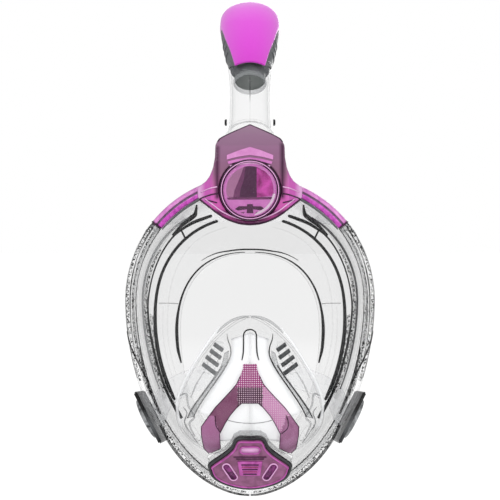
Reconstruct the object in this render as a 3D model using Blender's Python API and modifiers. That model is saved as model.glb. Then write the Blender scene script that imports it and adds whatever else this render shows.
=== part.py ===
"""Full face snorkel mask: a panoramic visor in a clamped rim, a silicone face skirt with an inner nose and
mouth pocket, a chin purge valve, a plug-in dry-top snorkel, and a head harness on quick-release clips.

Metres, +Z up. The wearer's face meets the seal at Y = 0 and the visor looks along -Y, with +X on the
viewer's right. The origin is the centre of the face seal. Run it with blender --background --python part.py.
"""

import math

import bmesh
import bpy
from mathutils import Matrix, Vector

mm = 0.001
GAP = 0.35 * mm

# The rim's outline, seen from the front: an egg, widest at eye level
RIM_HALF_WIDTH = 99 * mm
RIM_CENTRE_Z = 23 * mm
RIM_TOP = 98 * mm
RIM_BOTTOM = 151 * mm
RIM_TOP_POWER = 2
RIM_BOTTOM_POWER = 1.92
RIM_FRONT_Y = -44 * mm
RIM_SIDE_SWEEP = 16 * mm
RIM_STEPS = 56

# The rim's channel section, as inset from the outline and depth from the rim's middle
FRAME_WIDTH = 9 * mm
FRAME_HALF_DEPTH = 9 * mm
CHANNEL_FLOOR = 4 * mm
CHANNEL_HALF_DEPTH = 4 * mm
ARM_END = math.radians(39.5)

# The visor
VISOR_THICKNESS = 2.2 * mm
VISOR_PEAK_Y = -96 * mm
VISOR_PEAK_Z = 10 * mm
VISOR_POWER = 3.2
FLANGE_INSET = 10.5 * mm

# The skirt's face opening
OPENING = dict(half_width=57.6 * mm, centre_z=-2 * mm, top=63 * mm, bottom=93 * mm, top_power=2.25,
               bottom_power=2.2)
SEAL_SIDE_SWEEP = 10 * mm
SKIRT_THICKNESS = 1.6 * mm

# The nose and mouth pocket
POCKET_HALF_WIDTH = 59.4 * mm
POCKET_CENTRE_Z = -66 * mm
POCKET_TOP = 78 * mm
POCKET_BOTTOM = 38 * mm
POCKET_TOP_POWER = 1.5
POCKET_BOTTOM_POWER = 2
POCKET_TIP_Y = -67 * mm
POCKET_WIDE_Y = -32 * mm
POCKET_POWER = 3.5
POCKET_THICKNESS = 1.8 * mm

# The snorkel leans back over the head
SNORKEL_LEAN = math.radians(36)
MOUTH = Vector((0, -27, 150)) * mm
TUBE_WALL = 1.6 * mm
TUBE_BOTTOM = 6.4 * mm
TUBE_TOP = 82 * mm
SPIGOT_LENGTH = 16 * mm
SEAL_RADIUS = 0.7 * mm
SEAL_STEPS = 40

# The lock button on the socket
BUTTON_CENTRE = Vector((0, -75, 108)) * mm
BUTTON_RADIUS = 20.6 * mm
BUTTON_RING_RADIUS = 23.2 * mm

SNORKEL_PIECES = ("tube_collar", "tube_seal", "snorkel_tube", "tube_divider", "dry_top_body", "dry_top_cap",
                  "float_seat", "float", "float_seal")

# The flaps' hinge lines, in the frames of their openings
INHALE_HINGE = Vector((0, 10.8, 1.0)) * mm
EXHALE_HINGE = Vector((0, 7.2, 2.2)) * mm

# The chin valve
CHIN_CENTRE = Vector((0, -66, -99)) * mm
CHIN_TILT = math.radians(28)
CHIN_VALVE_RADIUS = 14.8 * mm

# The strap clips and the harness
CLIP_ANGLE = math.radians(-38.2)
CLIP_BUTTON_RADIUS = 18 * mm
CLIP_BACKSET = 4 * mm
ANCHOR_ANGLE = math.radians(42)
STRAP_WIDTH = 20 * mm
STRAP_THICKNESS = 2.2 * mm


# ---------------------------------------------------------------- tools


def clear_scene():
    for obj in list(bpy.data.objects):
        bpy.data.objects.remove(obj)


def collection(name):
    made = bpy.data.collections.new(name)
    bpy.context.scene.collection.children.link(made)
    return made


def material(name, color, roughness, transmission=0.0):
    made = bpy.data.materials.new(name)
    made.use_nodes = True
    shader = made.node_tree.nodes["Principled BSDF"]
    shader.inputs["Base Color"].default_value = (*color, 1)
    shader.inputs["Roughness"].default_value = roughness
    shader.inputs["Metallic"].default_value = 0
    shader.inputs["Transmission Weight"].default_value = transmission
    return made


clear_scene()
PARTS = collection("full_face_snorkel")
CUTTERS = collection("cutters")
CLEAR = material("clear_polycarbonate", (0.93, 0.94, 0.95), 0.05, 0.9)
MAGENTA = material("magenta_polycarbonate", (0.83, 0.18, 0.72), 0.1, 0.6)
SILICONE = material("clear_silicone", (0.88, 0.89, 0.9), 0.4, 0.5)
SMOKE = material("smoke_polycarbonate", (0.33, 0.35, 0.36), 0.25, 0.3)
BLACK = material("black_nylon", (0.03, 0.03, 0.035), 0.45)
BAND = material("pale_silicone_strap", (0.82, 0.83, 0.84), 0.5)
STEEL = material("spring_steel", (0.6, 0.6, 0.6), 0.3)


def add_mesh(name, mesh, look, group=PARTS):
    obj = bpy.data.objects.new(name, mesh)
    group.objects.link(obj)
    if look is not None:
        mesh.materials.append(look)
    if group is CUTTERS:
        obj.hide_render = True
        obj.display_type = "WIRE"
    return obj


def mesh_of(bm, name):
    bmesh.ops.recalc_face_normals(bm, faces=bm.faces)
    if all(edge.is_manifold for edge in bm.edges) and bm.calc_volume(signed=True) < 0:
        bmesh.ops.reverse_faces(bm, faces=bm.faces)
    mesh = bpy.data.meshes.new(name)
    bm.to_mesh(mesh)
    bm.free()
    mesh.shade_smooth()
    mesh.set_sharp_from_angle(angle=math.radians(35))
    return mesh


def loft(name, rings, look, closed_path=False, group=PARTS):
    """A solid through rings of as many points each: a closed path joins its ends, an open one is capped."""
    bm = bmesh.new()
    rows = [[bm.verts.new(p) for p in ring] for ring in rings]
    count = len(rows[0])
    for i in range(len(rows) if closed_path else len(rows) - 1):
        here, there = rows[i], rows[(i + 1) % len(rows)]
        for j in range(count):
            k = (j + 1) % count
            bm.faces.new((here[j], here[k], there[k], there[j]))
    if not closed_path:
        bm.faces.new(rows[0])
        bm.faces.new(rows[-1])
    return add_mesh(name, mesh_of(bm, name), look, group)


def sheet(name, rings, look, thickness, pole=None):
    """A thick shell through closed rings, closed at the pole if there is one."""
    bm = bmesh.new()
    rows = [[bm.verts.new(p) for p in ring] for ring in rings]
    count = len(rows[0])
    for here, there in zip(rows, rows[1:]):
        for j in range(count):
            k = (j + 1) % count
            bm.faces.new((here[j], here[k], there[k], there[j]))
    if pole is not None:
        tip = bm.verts.new(pole)
        for j in range(count):
            bm.faces.new((rows[-1][j], rows[-1][(j + 1) % count], tip))
    return thicken(add_mesh(name, mesh_of(bm, name), look), thickness)


def thicken(obj, thickness):
    modifier = obj.modifiers.new("Solidify", "SOLIDIFY")
    modifier.thickness = thickness
    modifier.offset = 0
    modifier.use_even_offset = True
    return obj


def boolean(obj, other, operation="DIFFERENCE"):
    modifier = obj.modifiers.new(operation.title(), "BOOLEAN")
    modifier.operation = operation
    modifier.object = other
    return obj


def cylinder(name, frame, radius, low, high, look=None, group=CUTTERS, sides=32, top_radius=None):
    """A cylinder or cone along a frame's third axis, from low to high on it."""
    bm = bmesh.new()
    top_radius = radius if top_radius is None else top_radius
    bmesh.ops.create_cone(
        bm, cap_ends=True, segments=sides, radius1=radius, radius2=top_radius, depth=high - low
    )
    bm.transform(frame @ Matrix.Translation((0, 0, (low + high) / 2)))
    return add_mesh(name, mesh_of(bm, name), look, group)


def block(name, frame, low, high, look=None, group=CUTTERS, bevel=0.0):
    """A box in a frame, between two corners."""
    low, high = Vector(low), Vector(high)
    bm = bmesh.new()
    bmesh.ops.create_cube(bm, size=1)
    bm.transform(Matrix.Translation((low + high) / 2) @ Matrix.Diagonal((*(high - low), 1)))
    if bevel:
        bmesh.ops.bevel(bm, geom=bm.edges, offset=bevel, segments=2, affect="EDGES")
    bm.transform(frame)
    return add_mesh(name, mesh_of(bm, name), look, group)


def prism(name, frame, outline, low, high, look=None, group=CUTTERS):
    """A flat outline in a frame's first two axes, extruded from low to high on the third."""
    curve = bpy.data.curves.new(name, "CURVE")
    curve.dimensions = "2D"
    curve.fill_mode = "BOTH"
    curve.extrude = (high - low) / 2
    spline = curve.splines.new("POLY")
    spline.points.add(len(outline) - 1)
    spline.use_cyclic_u = True
    for point, (x, y) in zip(spline.points, outline):
        point.co = (x, y, 0, 1)
    flat = bpy.data.objects.new(name + "_outline", curve)
    bpy.context.scene.collection.objects.link(flat)
    graph = bpy.context.evaluated_depsgraph_get()
    mesh = bpy.data.meshes.new_from_object(flat.evaluated_get(graph))
    bpy.data.objects.remove(flat)
    bm = bmesh.new()
    bm.from_mesh(mesh)
    bmesh.ops.remove_doubles(bm, verts=bm.verts, dist=1e-6)
    bm.transform(frame @ Matrix.Translation((0, 0, (low + high) / 2)))
    return add_mesh(name, mesh_of(bm, name), look, group)


def wire(name, points, radius, look):
    curve = bpy.data.curves.new(name, "CURVE")
    curve.dimensions = "3D"
    curve.bevel_depth = radius
    curve.bevel_resolution = 2
    curve.use_fill_caps = True
    spline = curve.splines.new("POLY")
    spline.points.add(len(points) - 1)
    for point, place in zip(spline.points, points):
        point.co = (*place, 1)
    curve.materials.append(look)
    obj = bpy.data.objects.new(name, curve)
    PARTS.objects.link(obj)
    return obj


def frame_at(origin, first, second):
    """A matrix whose first two axes are as given and whose third is their cross product."""
    first, second = Vector(first).normalized(), Vector(second).normalized()
    third = first.cross(second)
    made = Matrix((first, second, third)).transposed().to_4x4()
    made.translation = origin
    return made


def mix(a, b, share):
    return a + (b - a) * share


def mirrored(points):
    """A closed outline from its right half, which starts and ends on the centre line or short of it."""
    return list(points) + [(-x, y) for x, y in reversed(points) if abs(x) > 1e-9]


# ---------------------------------------------------------------- the mask's forms


def egg(t, half_width, centre_z, top, bottom, top_power, bottom_power):
    """A point of an egg outline: t is 0 at its right, a quarter turn at its top."""
    c, s = math.cos(t), math.sin(t)
    height, power = (top, top_power) if s >= 0 else (bottom, bottom_power)
    x = half_width * math.copysign(abs(c) ** (2 / power), c)
    z = centre_z + height * math.copysign(abs(s) ** (2 / power), s)
    return x, z


def rim(t, inset=0.0):
    """(x, z) of the rim's outline, or of one inset from it."""
    return egg(t, RIM_HALF_WIDTH - inset, RIM_CENTRE_Z, RIM_TOP - inset, RIM_BOTTOM - inset, RIM_TOP_POWER,
               RIM_BOTTOM_POWER)


def rim_y(t):
    return RIM_FRONT_Y + RIM_SIDE_SWEEP * (rim(t)[0] / RIM_HALF_WIDTH) ** 2


def seal_y(t):
    return SEAL_SIDE_SWEEP * (rim(t)[0] / RIM_HALF_WIDTH) ** 2


def on_rim(t, inset, depth):
    x, z = rim(t, inset)
    return Vector((x, rim_y(t) + depth, z))


def turn(steps):
    return [2 * math.pi * i / steps for i in range(steps)]


def rim_ring(name, section, look, start=None, end=None, steps=RIM_STEPS):
    """A ring of a given section round the rim: all of it, or from one angle to another."""
    if start is None:
        return loft(name, [[on_rim(t, r, y) for r, y in section] for t in turn(steps)], look, True)
    angles = [mix(start, end, i / steps) for i in range(steps + 1)]
    return loft(name, [[on_rim(t, r, y) for r, y in section] for t in angles], look)


def pocket_y(x, z):
    """The pocket's front surface: nearly flat at the mouth, falling away to its edge."""
    high, power = POCKET_BOTTOM, POCKET_BOTTOM_POWER
    if z > POCKET_CENTRE_Z:
        high, power = POCKET_TOP, POCKET_TOP_POWER
    across = (abs(x) / POCKET_HALF_WIDTH) ** power + (abs(z - POCKET_CENTRE_Z) / high) ** power
    return POCKET_TIP_Y + (POCKET_WIDE_Y - POCKET_TIP_Y) * across ** (POCKET_POWER / power)


def pocket_ring(scale, y=None, steps=40):
    ring = []
    for t in turn(steps):
        x, z = egg(t, POCKET_HALF_WIDTH * scale, POCKET_CENTRE_Z, POCKET_TOP * scale, POCKET_BOTTOM * scale,
                   POCKET_TOP_POWER, POCKET_BOTTOM_POWER)
        ring.append(Vector((x, pocket_y(x, z) if y is None else y, z)))
    return ring


def pocket_frame(x, z):
    """A frame on the pocket's surface: across, up the slope, and out of it."""
    step = 0.5 * mm
    centre = Vector((x, pocket_y(x, z), z))
    up = Vector((x, pocket_y(x, z + step), z + step)) - Vector((x, pocket_y(x, z - step), z - step))
    across = Vector((x + step, pocket_y(x + step, z), z)) - Vector((x - step, pocket_y(x - step, z), z))
    out = across.cross(up).normalized()
    if out.y > 0:
        out = -out
    along = up.normalized()
    return frame_at(centre, along.cross(out), along)


def snorkel_frame():
    """Across, towards the front, and up the snorkel's axis, at the socket's mouth."""
    axis = Vector((0, math.sin(SNORKEL_LEAN), math.cos(SNORKEL_LEAN)))
    front = Vector((0, -math.cos(SNORKEL_LEAN), math.sin(SNORKEL_LEAN)))
    return frame_at(MOUTH, front.cross(axis), front)


def oval(frame, half_width, half_depth, height, steps=32):
    return [
        frame @ Vector((half_width * math.cos(t), half_depth * math.sin(t), height)) for t in turn(steps)
    ]


def ovals(at, rings):
    """Rings on the snorkel's axis, from (half width, half depth, height) in millimetres."""
    return [oval(at, a * mm, b * mm, h * mm) for a, b, h in rings]


def chin_frame():
    up = Vector((0, -math.sin(CHIN_TILT), math.cos(CHIN_TILT)))
    return frame_at(CHIN_CENTRE, (1, 0, 0), up)


def rim_frame(t, side, depth):
    """On the rim's outer face: along the rim, backwards, and outwards."""
    place = on_rim(t, 0, depth)
    along = on_rim(t + 0.01, 0, 0) - on_rim(t - 0.01, 0, 0)
    place.x *= side
    along.x *= side
    outward = along.cross(Vector((0, -side, 0))).normalized()
    first = along.normalized() * -side
    return frame_at(place, first, outward.cross(first))


def clip_frame(side):
    return rim_frame(CLIP_ANGLE, side, CLIP_BACKSET)


# ---------------------------------------------------------------- the rim and the visor


def frame_section():
    w, d, floor, half = FRAME_WIDTH, FRAME_HALF_DEPTH, CHANNEL_FLOOR, CHANNEL_HALF_DEPTH
    chamfer = 3 * mm
    return [(0, -d + chamfer), (chamfer, -d), (w, -d), (w, -half), (floor, -half), (floor, half),
            (w, half), (w, d), (chamfer, d), (0, d - chamfer)]


def make_rim():
    seam = 0.003
    notch = prism("chin_notch", chin_frame(), chin_outline(-0.6 * mm), -6.6 * mm, 20 * mm)
    upper = rim_ring("upper_frame", frame_section(), MAGENTA, ARM_END + seam, math.pi - ARM_END - seam, 28)
    lower = rim_ring("lower_frame", frame_section(), CLEAR, math.pi - ARM_END, 2 * math.pi + ARM_END, 38)
    for side, label in ((1, "right"), (-1, "left")):
        dowel_frame = joint_frame(side)
        cylinder(f"frame_dowel_{label}", dowel_frame, 1.0 * mm, -4 * mm, 4 * mm, STEEL, PARTS, 12)
        hole = cylinder(f"dowel_hole_{label}", dowel_frame, 1.3 * mm, -4.5 * mm, 4.5 * mm, sides=12)
        boolean(upper, hole)
        boolean(lower, hole)
    boolean(lower, notch)
    return upper, lower


def joint_frame(side):
    """Across the joint of the two frames: the third axis runs along the rim."""
    t = ARM_END
    point = on_rim(t, 2.2 * mm, 0)
    along = on_rim(t + 0.01, 2.2 * mm, 0) - on_rim(t - 0.01, 2.2 * mm, 0)
    point.x *= side
    along.x *= side
    along.normalize()
    first = Vector((0, 1, 0)).cross(along).normalized()
    return frame_at(point, first, along.cross(first))


def make_visor(chin_hole, socket_hole):
    rings = [[on_rim(t, 4.7 * mm, -2.4 * mm) for t in turn(RIM_STEPS)],
             [on_rim(t, 9.4 * mm, -2.4 * mm) for t in turn(RIM_STEPS)]]
    for share in (1.0, 0.95, 0.87, 0.74, 0.56, 0.34):
        ring = []
        for t in turn(RIM_STEPS):
            x, z = rim(t, FLANGE_INSET)
            edge = rim_y(t) - 3.6 * mm
            y = VISOR_PEAK_Y + (edge - VISOR_PEAK_Y) * share**VISOR_POWER
            ring.append(Vector((x * share, y, mix(VISOR_PEAK_Z, z, share))))
        rings.append(ring)
    visor = sheet("visor", rings, CLEAR, VISOR_THICKNESS, Vector((0, VISOR_PEAK_Y, VISOR_PEAK_Z)))
    boolean(visor, socket_hole)
    boolean(visor, chin_hole)
    return visor


def make_seal():
    section = [(5, -0.9), (8.6, -0.9), (8.6, 0.1), (5, 0.1)]
    return rim_ring("visor_seal", [(r * mm, y * mm) for r, y in section], SMOKE)


# ---------------------------------------------------------------- the soft parts


def make_skirt():
    def ring(share, depth_share, forward):
        points = []
        for t in turn(RIM_STEPS):
            x, z = rim(t, 11.2 * mm)
            inner_x, inner_z = egg(t, **OPENING)
            y = mix(rim_y(t) + 5 * mm, seal_y(t), depth_share) - forward
            points.append(Vector((mix(x, inner_x, share), y, mix(z, inner_z, share))))
        return points

    rings = [[on_rim(t, 5.2 * mm, 2.1 * mm) for t in turn(RIM_STEPS)],
             [on_rim(t, 9.6 * mm, 2.1 * mm) for t in turn(RIM_STEPS)],
             ring(0, 0, 0), ring(0.07, 0.5, 0), ring(0.17, 0.88, 0), ring(0.33, 1, 0),
             ring(0.58, 1, 1.5 * mm), ring(0.82, 1, 6 * mm), ring(1, 1, 14 * mm)]
    return sheet("skirt", rings, SILICONE, SKIRT_THICKNESS)


VENT_PLACE = (29 * mm, -22 * mm)
PORT_PLACE = (45 * mm, -80 * mm)
VENT_TURN = math.radians(27)


def vent_frame(side):
    made = pocket_frame(side * VENT_PLACE[0], VENT_PLACE[1])
    return made @ Matrix.Rotation(side * VENT_TURN, 4, "Z")


def port_frame(side):
    return pocket_frame(side * PORT_PLACE[0], PORT_PLACE[1])


def make_pocket():
    rings = [pocket_ring(0.6, -7 * mm), pocket_ring(0.63, -20 * mm), pocket_ring(0.96, -31 * mm)]
    rings += [pocket_ring(share) for share in (0.99, 0.93, 0.82, 0.66, 0.46, 0.24)]
    pole = Vector((0, POCKET_TIP_Y, POCKET_CENTRE_Z))
    pocket = sheet("nose_pocket", rings, SILICONE, POCKET_THICKNESS, pole)
    for side, label in ((1, "right"), (-1, "left")):
        slot = ((-5.3 * mm, -11.3 * mm, -6 * mm), (5.3 * mm, 11.3 * mm, 6 * mm))
        boolean(pocket, block(f"vent_hole_{label}", vent_frame(side), *slot))
        boolean(pocket, cylinder(f"port_hole_{label}", port_frame(side), 8.2 * mm, -6 * mm, 6 * mm, sides=24))
    boolean(pocket, cylinder("chin_duct_hole", chin_frame(), 14.6 * mm, -31 * mm, 0, sides=28))
    return pocket


def make_vents():
    """On each side of the nose: a grille of four slots, with a flap behind it that opens inwards."""
    for side, label in ((1, "right"), (-1, "left")):
        at = vent_frame(side)
        plate = ((-7.4 * mm, -14 * mm, 1.9 * mm), (7.4 * mm, 14 * mm, 3.7 * mm))
        grille = block(f"vent_grille_{label}", at, *plate, CLEAR, PARTS, 0.5 * mm)
        for i in range(4):
            y = (i - 1.5) * 5.9 * mm
            slot = ((-4.6 * mm, y - 1.5 * mm, 0), (4.6 * mm, y + 1.5 * mm, 6 * mm))
            boolean(grille, block(f"grille_slot_{label}_{i}", at, *slot))
        block(f"inhale_flap_{label}", at, (-4.8 * mm, -10.8 * mm, 0.6 * mm), (4.8 * mm, 10.8 * mm, 1.4 * mm),
              SMOKE, PARTS)


def make_ports():
    """Low on each cheek: a ring seat, with a flap outside it that lets breath out into the side channel."""
    for side, label in ((1, "right"), (-1, "left")):
        at = port_frame(side)
        seat = cylinder(f"exhale_seat_{label}", at, 7.9 * mm, -1.2 * mm, 1.4 * mm, CLEAR, PARTS, 24)
        boolean(seat, cylinder(f"exhale_seat_hole_{label}", at, 5.4 * mm, -3 * mm, 3 * mm, sides=20))
        cylinder(f"exhale_flap_{label}", at, 7.2 * mm, 1.8 * mm, 2.6 * mm, SMOKE, PARTS, 24)


def trim_y(x, z):
    return pocket_y(0.95 * x, mix(POCKET_CENTRE_Z, z, 0.95)) - 2.8 * mm


def make_nose_trim():
    """A flat wishbone over the pocket. Each row has its inner and outer edge, from the stem to the tip."""
    rows = [(0, 5.4, -27, -27), (0, 6.0, -33, -31), (0, 7.2, -42, -37), (0, 12, -54, -46),
            (6.5, 20, -58, -57), (13, 28, -65, -66), (20, 36, -76, -76), (22.5, 38.5, -84, -83),
            (23.5, 37.5, -91, -91), (31, 34.5, -97.5, -97.5)]
    bm = bmesh.new()
    rows = [[(inner_x * mm, inner_z * mm), (mix(inner_x, outer_x, 0.5) * mm, mix(inner_z, outer_z, 0.5) * mm),
             (outer_x * mm, outer_z * mm)] for inner_x, outer_x, inner_z, outer_z in rows]
    lines = [[bm.verts.new((x, trim_y(x, z), z)) for x, z in row] for row in rows]
    for here, there in zip(lines, lines[1:]):
        for a in (0, 1):
            bm.faces.new((here[a], here[a + 1], there[a + 1], there[a]))
    trim = add_mesh("nose_trim", mesh_of(bm, "nose_trim"), MAGENTA)
    mirror = trim.modifiers.new("Mirror", "MIRROR")
    mirror.merge_threshold = 0.0001
    mirror.use_clip = True
    return thicken(trim, 1.6 * mm)


# ---------------------------------------------------------------- the chin valve


def chin_outline(inset):
    half = [(0, 25.6), (8, 25.6), (12.2, 22.4), (14.8, 16), (20, 10.2), (31, 0.6), (32, -4), (28, -14),
            (16, -21.4), (0, -24.6)]
    points = [Vector(p) * mm for p in mirrored(half)]
    centre = Vector((0, -2 * mm))
    moved = []
    for i, here in enumerate(points):
        before, after = points[i - 1], points[(i + 1) % len(points)]
        edge = ((here - before).normalized() + (after - here).normalized()).normalized()
        inward = Vector((edge.y, -edge.x))
        if inward.dot(centre - here) < 0:
            inward = -inward
        moved.append(here + inward * inset)
    return [tuple(p) for p in moved]


def make_chin_valve():
    at = chin_frame()
    housing = prism("chin_housing", at, chin_outline(0), -6 * mm, 0, CLEAR, PARTS)
    spigot = cylinder("chin_spigot", at, 14 * mm, -24 * mm, -4.7 * mm, sides=30)
    boolean(housing, spigot, "UNION")
    boolean(housing, cylinder("chin_recess", at, CHIN_VALVE_RADIUS + GAP, -4 * mm, 3 * mm))
    boolean(housing, cylinder("chin_bore", at, 12 * mm, -28 * mm, -2 * mm))

    seat = cylinder("exhale_valve_seat", at, CHIN_VALVE_RADIUS, -3.6 * mm, -2.5 * mm, CLEAR, PARTS)
    boolean(seat, cylinder("seat_stem_hole", at, 2 * mm, -6 * mm, 0, sides=12))
    for i in range(4):
        angle = math.pi / 4 + i * math.pi / 2
        place = at @ Matrix.Translation((7.4 * mm * math.cos(angle), 7.4 * mm * math.sin(angle), 0))
        boolean(seat, cylinder(f"seat_port_{i}", place, 3.7 * mm, -6 * mm, 0, sides=14))
    membrane = cylinder("exhale_membrane", at, 13.6 * mm, -2.1 * mm, -1.3 * mm, SMOKE, PARTS)
    boolean(membrane, cylinder("membrane_stem", at, 1.6 * mm, -6 * mm, -1.8 * mm, sides=12), "UNION")

    bezel = prism("chin_bezel", at, chin_outline(0.2 * mm), GAP, 3.2 * mm, SMOKE, PARTS)
    boolean(bezel, prism("bezel_window", at, chin_outline(2.6 * mm), -2 * mm, 6 * mm))
    cover = prism("chin_cover", at, chin_outline(3 * mm), GAP, 4.4 * mm, MAGENTA, PARTS)
    slots = [(0, 15.5, 0, 8.5), (-15.5, -5.5, math.radians(-62), 7), (15.5, -5.5, math.radians(62), 7)]
    for i, (x, y, angle, half) in enumerate(slots):
        place = at @ Matrix.Translation((x * mm, y * mm, 0)) @ Matrix.Rotation(angle, 4, "Z")
        slot = ((-half * mm, -2 * mm, -3 * mm), (half * mm, 2 * mm, 8 * mm))
        boolean(cover, block(f"cover_slot_{i}", place, *slot))
    return housing


# ---------------------------------------------------------------- the snorkel's socket


def socket_front():
    half = [(0, 81.5), (8, 82.3), (17, 85.2), (24, 89.3), (30.5, 94.5), (40, 102.6), (40.5, 111), (33.7, 115),
            (30.4, 119), (28, 125), (26.6, 133), (26.4, 143), (24, 148.5), (0, 161.5)]
    return [(x * mm, z * mm) for x, z in mirrored(half)]


def socket_side():
    """The socket from the side, as (forward, up): its front over the visor, its rear behind the rim."""
    points = [(53.4, 80), (64, 80), (72, 85), (75, 92), (75, 130), (70, 142), (57, 153), (43, 162.5),
              (39.8, 158.8), (12, 138.4), (12, 114), (33.6, 114), (33.6, 121.6), (53.4, 121.6)]
    return [(y * mm, z * mm) for y, z in points]


def socket_plan():
    """The socket from above, as (right, forward): its ears thin down over the arms of the rim."""
    half = [(0, 80), (26, 80), (32, 71), (41, 59), (41, 45), (28, 45), (28, 0), (0, 0)]
    return [(x * mm, y * mm) for x, y in mirrored(half)]


def make_socket():
    facing = frame_at((0, 0, 0), (1, 0, 0), (0, 0, 1))
    sideways = frame_at((0, 0, 0), (0, -1, 0), (0, 0, 1))
    socket = prism("snorkel_socket", facing, socket_front(), -10 * mm, 90 * mm, MAGENTA, PARTS)
    downwards = frame_at((0, 0, 0), (1, 0, 0), (0, -1, 0))
    boolean(socket, prism("socket_profile", sideways, socket_side(), -60 * mm, 60 * mm), "INTERSECT")
    boolean(socket, prism("socket_plan", downwards, socket_plan(), -200 * mm, -40 * mm), "INTERSECT")
    at = snorkel_frame()
    bore = [(16.9, 13.9, (-SPIGOT_LENGTH - GAP) / mm), (16.9, 13.9, 14)]
    counterbore = [(20.4, 18.2, 0), (20.4, 18.2, 14)]
    boolean(socket, loft("socket_bore", ovals(at, bore), None, group=CUTTERS))
    boolean(socket, loft("socket_counterbore", ovals(at, counterbore), None, group=CUTTERS))
    ducts = {"down": ((-9, -61, 92), (9, -55, 147)), "over": ((-9, -60, 136), (9, -38, 146)),
             "in": ((-14, -62, 92), (14, -40, 108))}
    for label, (low, high) in ducts.items():
        duct = block(f"socket_duct_{label}", Matrix.Identity(4), Vector(low) * mm, Vector(high) * mm)
        boolean(socket, duct)
    facing_button = frame_at(BUTTON_CENTRE, (1, 0, 0), (0, 0, 1))
    boolean(socket, cylinder("button_recess", facing_button, BUTTON_RING_RADIUS + GAP, -6.6 * mm, 9 * mm))
    boolean(socket, cylinder("button_stem_hole", facing_button, 7.4 * mm, -12 * mm, 0, sides=20))
    return socket


def make_lock_button():
    at = frame_at(BUTTON_CENTRE, (1, 0, 0), (0, 0, 1))
    ring = cylinder("button_ring", at, BUTTON_RING_RADIUS, -6.2 * mm, 1.4 * mm, SMOKE, PARTS, 40)
    boolean(ring, cylinder("button_ring_hole", at, BUTTON_RADIUS + GAP, -8 * mm, 4 * mm, sides=40))
    button = cylinder("lock_button", at, BUTTON_RADIUS, -2.6 * mm, 0.6 * mm, MAGENTA, PARTS, 40)
    boolean(button, cylinder("button_stem", at, 2.6 * mm, -7.6 * mm, -1.5 * mm, sides=16), "UNION")
    turns, steps = 3, 14
    coil = []
    for i in range(turns * steps + 1):
        angle = 2 * math.pi * i / steps
        height = mix(-11 * mm, -3.2 * mm, i / (turns * steps))
        coil.append(at @ Vector((5 * mm * math.cos(angle), 5 * mm * math.sin(angle), height)))
    wire("button_spring", coil, 0.45 * mm, STEEL)


# ---------------------------------------------------------------- the snorkel


def make_snorkel():
    at = snorkel_frame()
    collar_rings = [(16.4, 13.4, -16), (16.4, 13.4, -9.4), (15.1, 12.1, -9.2), (15.1, 12.1, -7.2),
                    (16.4, 13.4, -7), (16.4, 13.4, 0.3), (19.6, 17.4, 0.4), (19.6, 17.4, 3.4),
                    (18.4, 16.4, 6)]
    collar = loft("tube_collar", ovals(at, collar_rings), CLEAR)
    collar_bore = [(12.6, 9.8, -20), (12.6, 9.8, 9)]
    boolean(collar, loft("collar_bore", ovals(at, collar_bore), None, group=CUTTERS))
    for side, label in ((1, "right"), (-1, "left")):
        near, far = sorted((side * 18.3 * mm, side * 19.6 * mm))
        arm = block(f"collar_arm_{label}", at, (near, -2.6 * mm, 1 * mm), (far, 2.6 * mm, 21 * mm))
        boolean(collar, arm, "UNION")

    rings = []
    for t in turn(SEAL_STEPS):
        outward = Vector((math.cos(t), math.sin(t), 0))
        centre = Vector((16 * mm * math.cos(t), 13 * mm * math.sin(t), -8.2 * mm))
        section = [outward * math.cos(a) + Vector((0, 0, math.sin(a))) for a in turn(8)]
        rings.append([at @ (centre + offset * SEAL_RADIUS) for offset in section])
    loft("tube_seal", rings, BLACK, True)

    tube_rings = [(17.8, 15.8, TUBE_BOTTOM / mm), (16.7, 14.9, 20), (16.5, 14.7, 40), (17, 15, 60),
                  (18.6, 16.4, TUBE_TOP / mm)]
    tube = loft("snorkel_tube", ovals(at, tube_rings), CLEAR)
    wall = TUBE_WALL / mm
    inner = [(a - wall, b - wall, h) for a, b, h in tube_rings]
    inner[0] = (inner[0][0], inner[0][1], inner[0][2] - 3)
    inner[-1] = (inner[-1][0], inner[-1][1], inner[-1][2] + 3)
    boolean(tube, loft("tube_inside", ovals(at, inner), None, group=CUTTERS))
    block("tube_divider", at, (-0.6 * mm, -12.6 * mm, 7 * mm), (0.6 * mm, 12.6 * mm, 45 * mm), CLEAR, PARTS)

    make_dry_top(at)


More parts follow.
